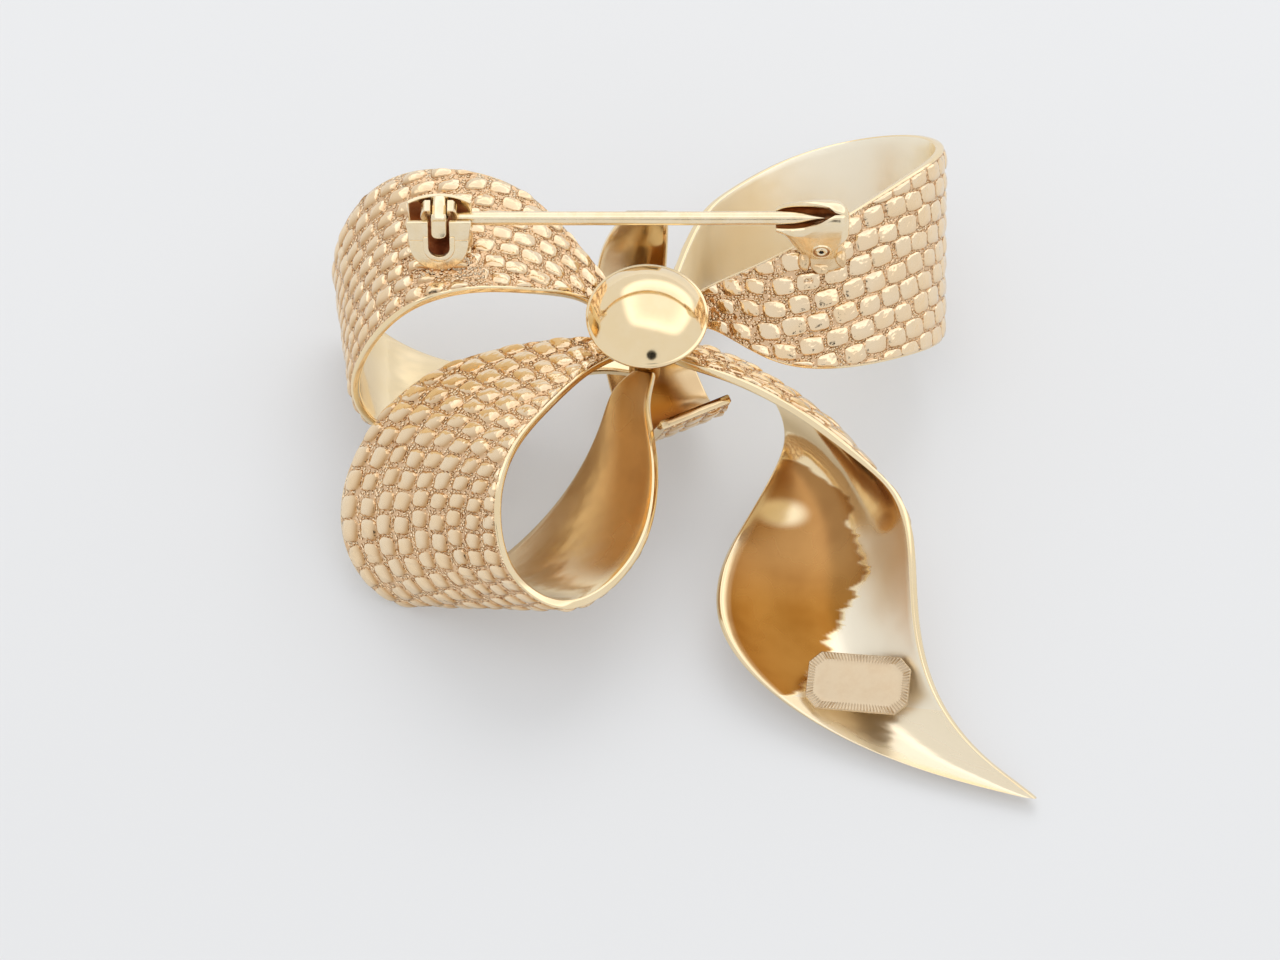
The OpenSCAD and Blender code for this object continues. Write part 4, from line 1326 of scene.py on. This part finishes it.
PLATE_STATION = 7
PLATE_MIDDLE = -0.16
PLATE_STEP = 0.4
MILLING = 0.27
MILLING_DEPTH = 0.11
# Rings from the plate's foot to its middle: how far in and up from its outline, and
# whether the milled border is cut there
PLATE_RINGS = [
    # INSET, HEIGHT, MILLED
    (0.0, 0.0, 0),
    (0.0, PLATE_T - 0.10, 0),
    (0.06, PLATE_T - 0.02, 0),
    (0.12, PLATE_T, 1),
    (0.55, PLATE_T, 1),
    (0.60, PLATE_T - 0.05, 0),
    (0.68, PLATE_T - 0.06, 0),
    (0.95, PLATE_T - 0.05, 0),
]


def plate_pose():
    """The plate's middle, its directions along and across, and its upright."""
    share = PLATE_LEN / blend(CURVES["tail"], [PLATE_STATION])[0, WIDTH]
    a, b = (skin("tail", PLATE_STATION, PLATE_MIDDLE + way * share, -WALL / 2 - SOLDER_GAP)
            for way in (-1, 1))
    back, ahead = (skin("tail", PLATE_STATION + way * PLATE_STEP, PLATE_MIDDLE, 0)
                   for way in (-1, 1))
    along = unit(a - b)
    up = unit(np.cross(along, back - ahead))
    return (a + b) / 2 + up * PLATE_STAND + MIDDLE, along, np.cross(up, along), up


def plate_outline(spacing=0.055):
    """Points close together round a rectangle with its corners cut off, from its left."""
    x, y = PLATE_LEN / 2, PLATE_W / 2
    quarter = [(x, y - PLATE_NOTCH), (x - PLATE_NOTCH, y)]
    corners = ([(-x, -y) for x, y in quarter] + [(x, -y) for x, y in quarter[::-1]]
               + quarter + [(-x, y) for x, y in quarter[::-1]])
    points = []
    for a, b in zip(np.array(corners), np.roll(corners, -1, axis=0)):
        steps = int(np.linalg.norm(b - a) / spacing)
        points += [a + (b - a) * k / steps for k in range(steps)]
    return np.array(points)


def plate(metal):
    spot, along, across, up = plate_pose()
    outline = plate_outline()
    wave = 0.5 + 0.5 * np.sin(run_along(outline) / MILLING * 2 * pi)
    size = np.array([PLATE_LEN, PLATE_W])
    rings = []
    for inset, height, milled in PLATE_RINGS:
        xy = outline * (size - 2 * inset) / size
        level = height - milled * MILLING_DEPTH * wave
        rings.append(spot + xy[:, :1] * along + xy[:, 1:] * across + level[:, None] * up)
    obj = tube("bare_plate", rings, [metal])
    obj.data.set_sharp_from_angle(angle=radians(50))
    return obj


# The ribbons of the bow

LOOP_CELLS = (512, 150, 22)
TAIL_CELLS = (460, 146, 48)
KNOT_CELLS = (260, 72, 16)
Ribbon = namedtuple("Ribbon", "name node key cells scales seat tone", defaults=(None, None))


def bow_ribbons():
    # Scales: PITCH, SLANT, FILL, PILLOW, BRICK, SEED, HEIGHT, PAINTED_SIDE_CONTRAST
    return [
        Ribbon("upper_left_ribbon", "upper_left_loop", "upper", LOOP_CELLS,
               Scales((2.0, 1.66), 0.2, (0.82, 0.82), 0.65, 0.5, 3, 0.43, 0.8),
               seat=joint_seat()),
        Ribbon("lower_left_ribbon", "lower_left_loop", "lower", LOOP_CELLS,
               Scales((1.66, 2.0), -0.30, (0.94, 0.85), 0.6, 0.12, 5, 0.44, 0.95),
               tone=lower_painted_shade),
        Ribbon("right_ribbon", "right_loop", "right", LOOP_CELLS,
               Scales((2.1, 1.72), 0.24, (0.66, 0.93), 0.5, 0.5, 8, contrast=0.35),
               seat=foot_seat(), tone=right_painted_sheen),
        Ribbon("tail_ribbon", "tail", "tail", TAIL_CELLS,
               Scales((1.85, 1.65), 0.2, (0.80, 0.90), 0.5, 0.5, 11), tone=scoop_painted_light),
        Ribbon("knot_ribbon", "knot_band", "knot", KNOT_CELLS,
               Scales((1.75, 1.6), 0.1, (0.86, 0.88), 0.5, 0.5, 13), tone=knot_painted_shade),
    ]


FLOOR_HALF = 900


def make_floor():
    points = [(x, y, 0) for x, y in oblong(FLOOR_HALF, -FLOOR_HALF, FLOOR_HALF)]
    make_mesh("table_top", points, [[0, 1, 2, 3]], [floor_paper()], smooth=False)


def make_brooch():
    sheet_metals = [scaled_gold(), mirror_gold()]
    cap, finding, solder, plate_metal, shade, hood = (plain_gold(name) for name in PLAIN_GOLDS)
    dark = eye_painted_shade()
    for r in bow_ribbons():
        obj = ribbon(r.name, r.key, r.cells, r.scales, sheet_metals, r.seat, r.tone)
        piece(obj, "bow", r.node)
    piece(back_cap(cap), "bow", "back_cap")
    piece(pin_joint(finding, shade, solder), "bow", "pin_joint")
    piece(pin(finding), "pin", "pin_stem")
    piece(catch(finding, dark, hood, solder), "bow", "catch")
    piece(plate(plate_metal), "bow", "maker_plate")


bpy.context.scene.view_settings.view_transform = "Standard"
make_camera()
make_tent()
make_key_lamp()
make_brooch()
make_floor()
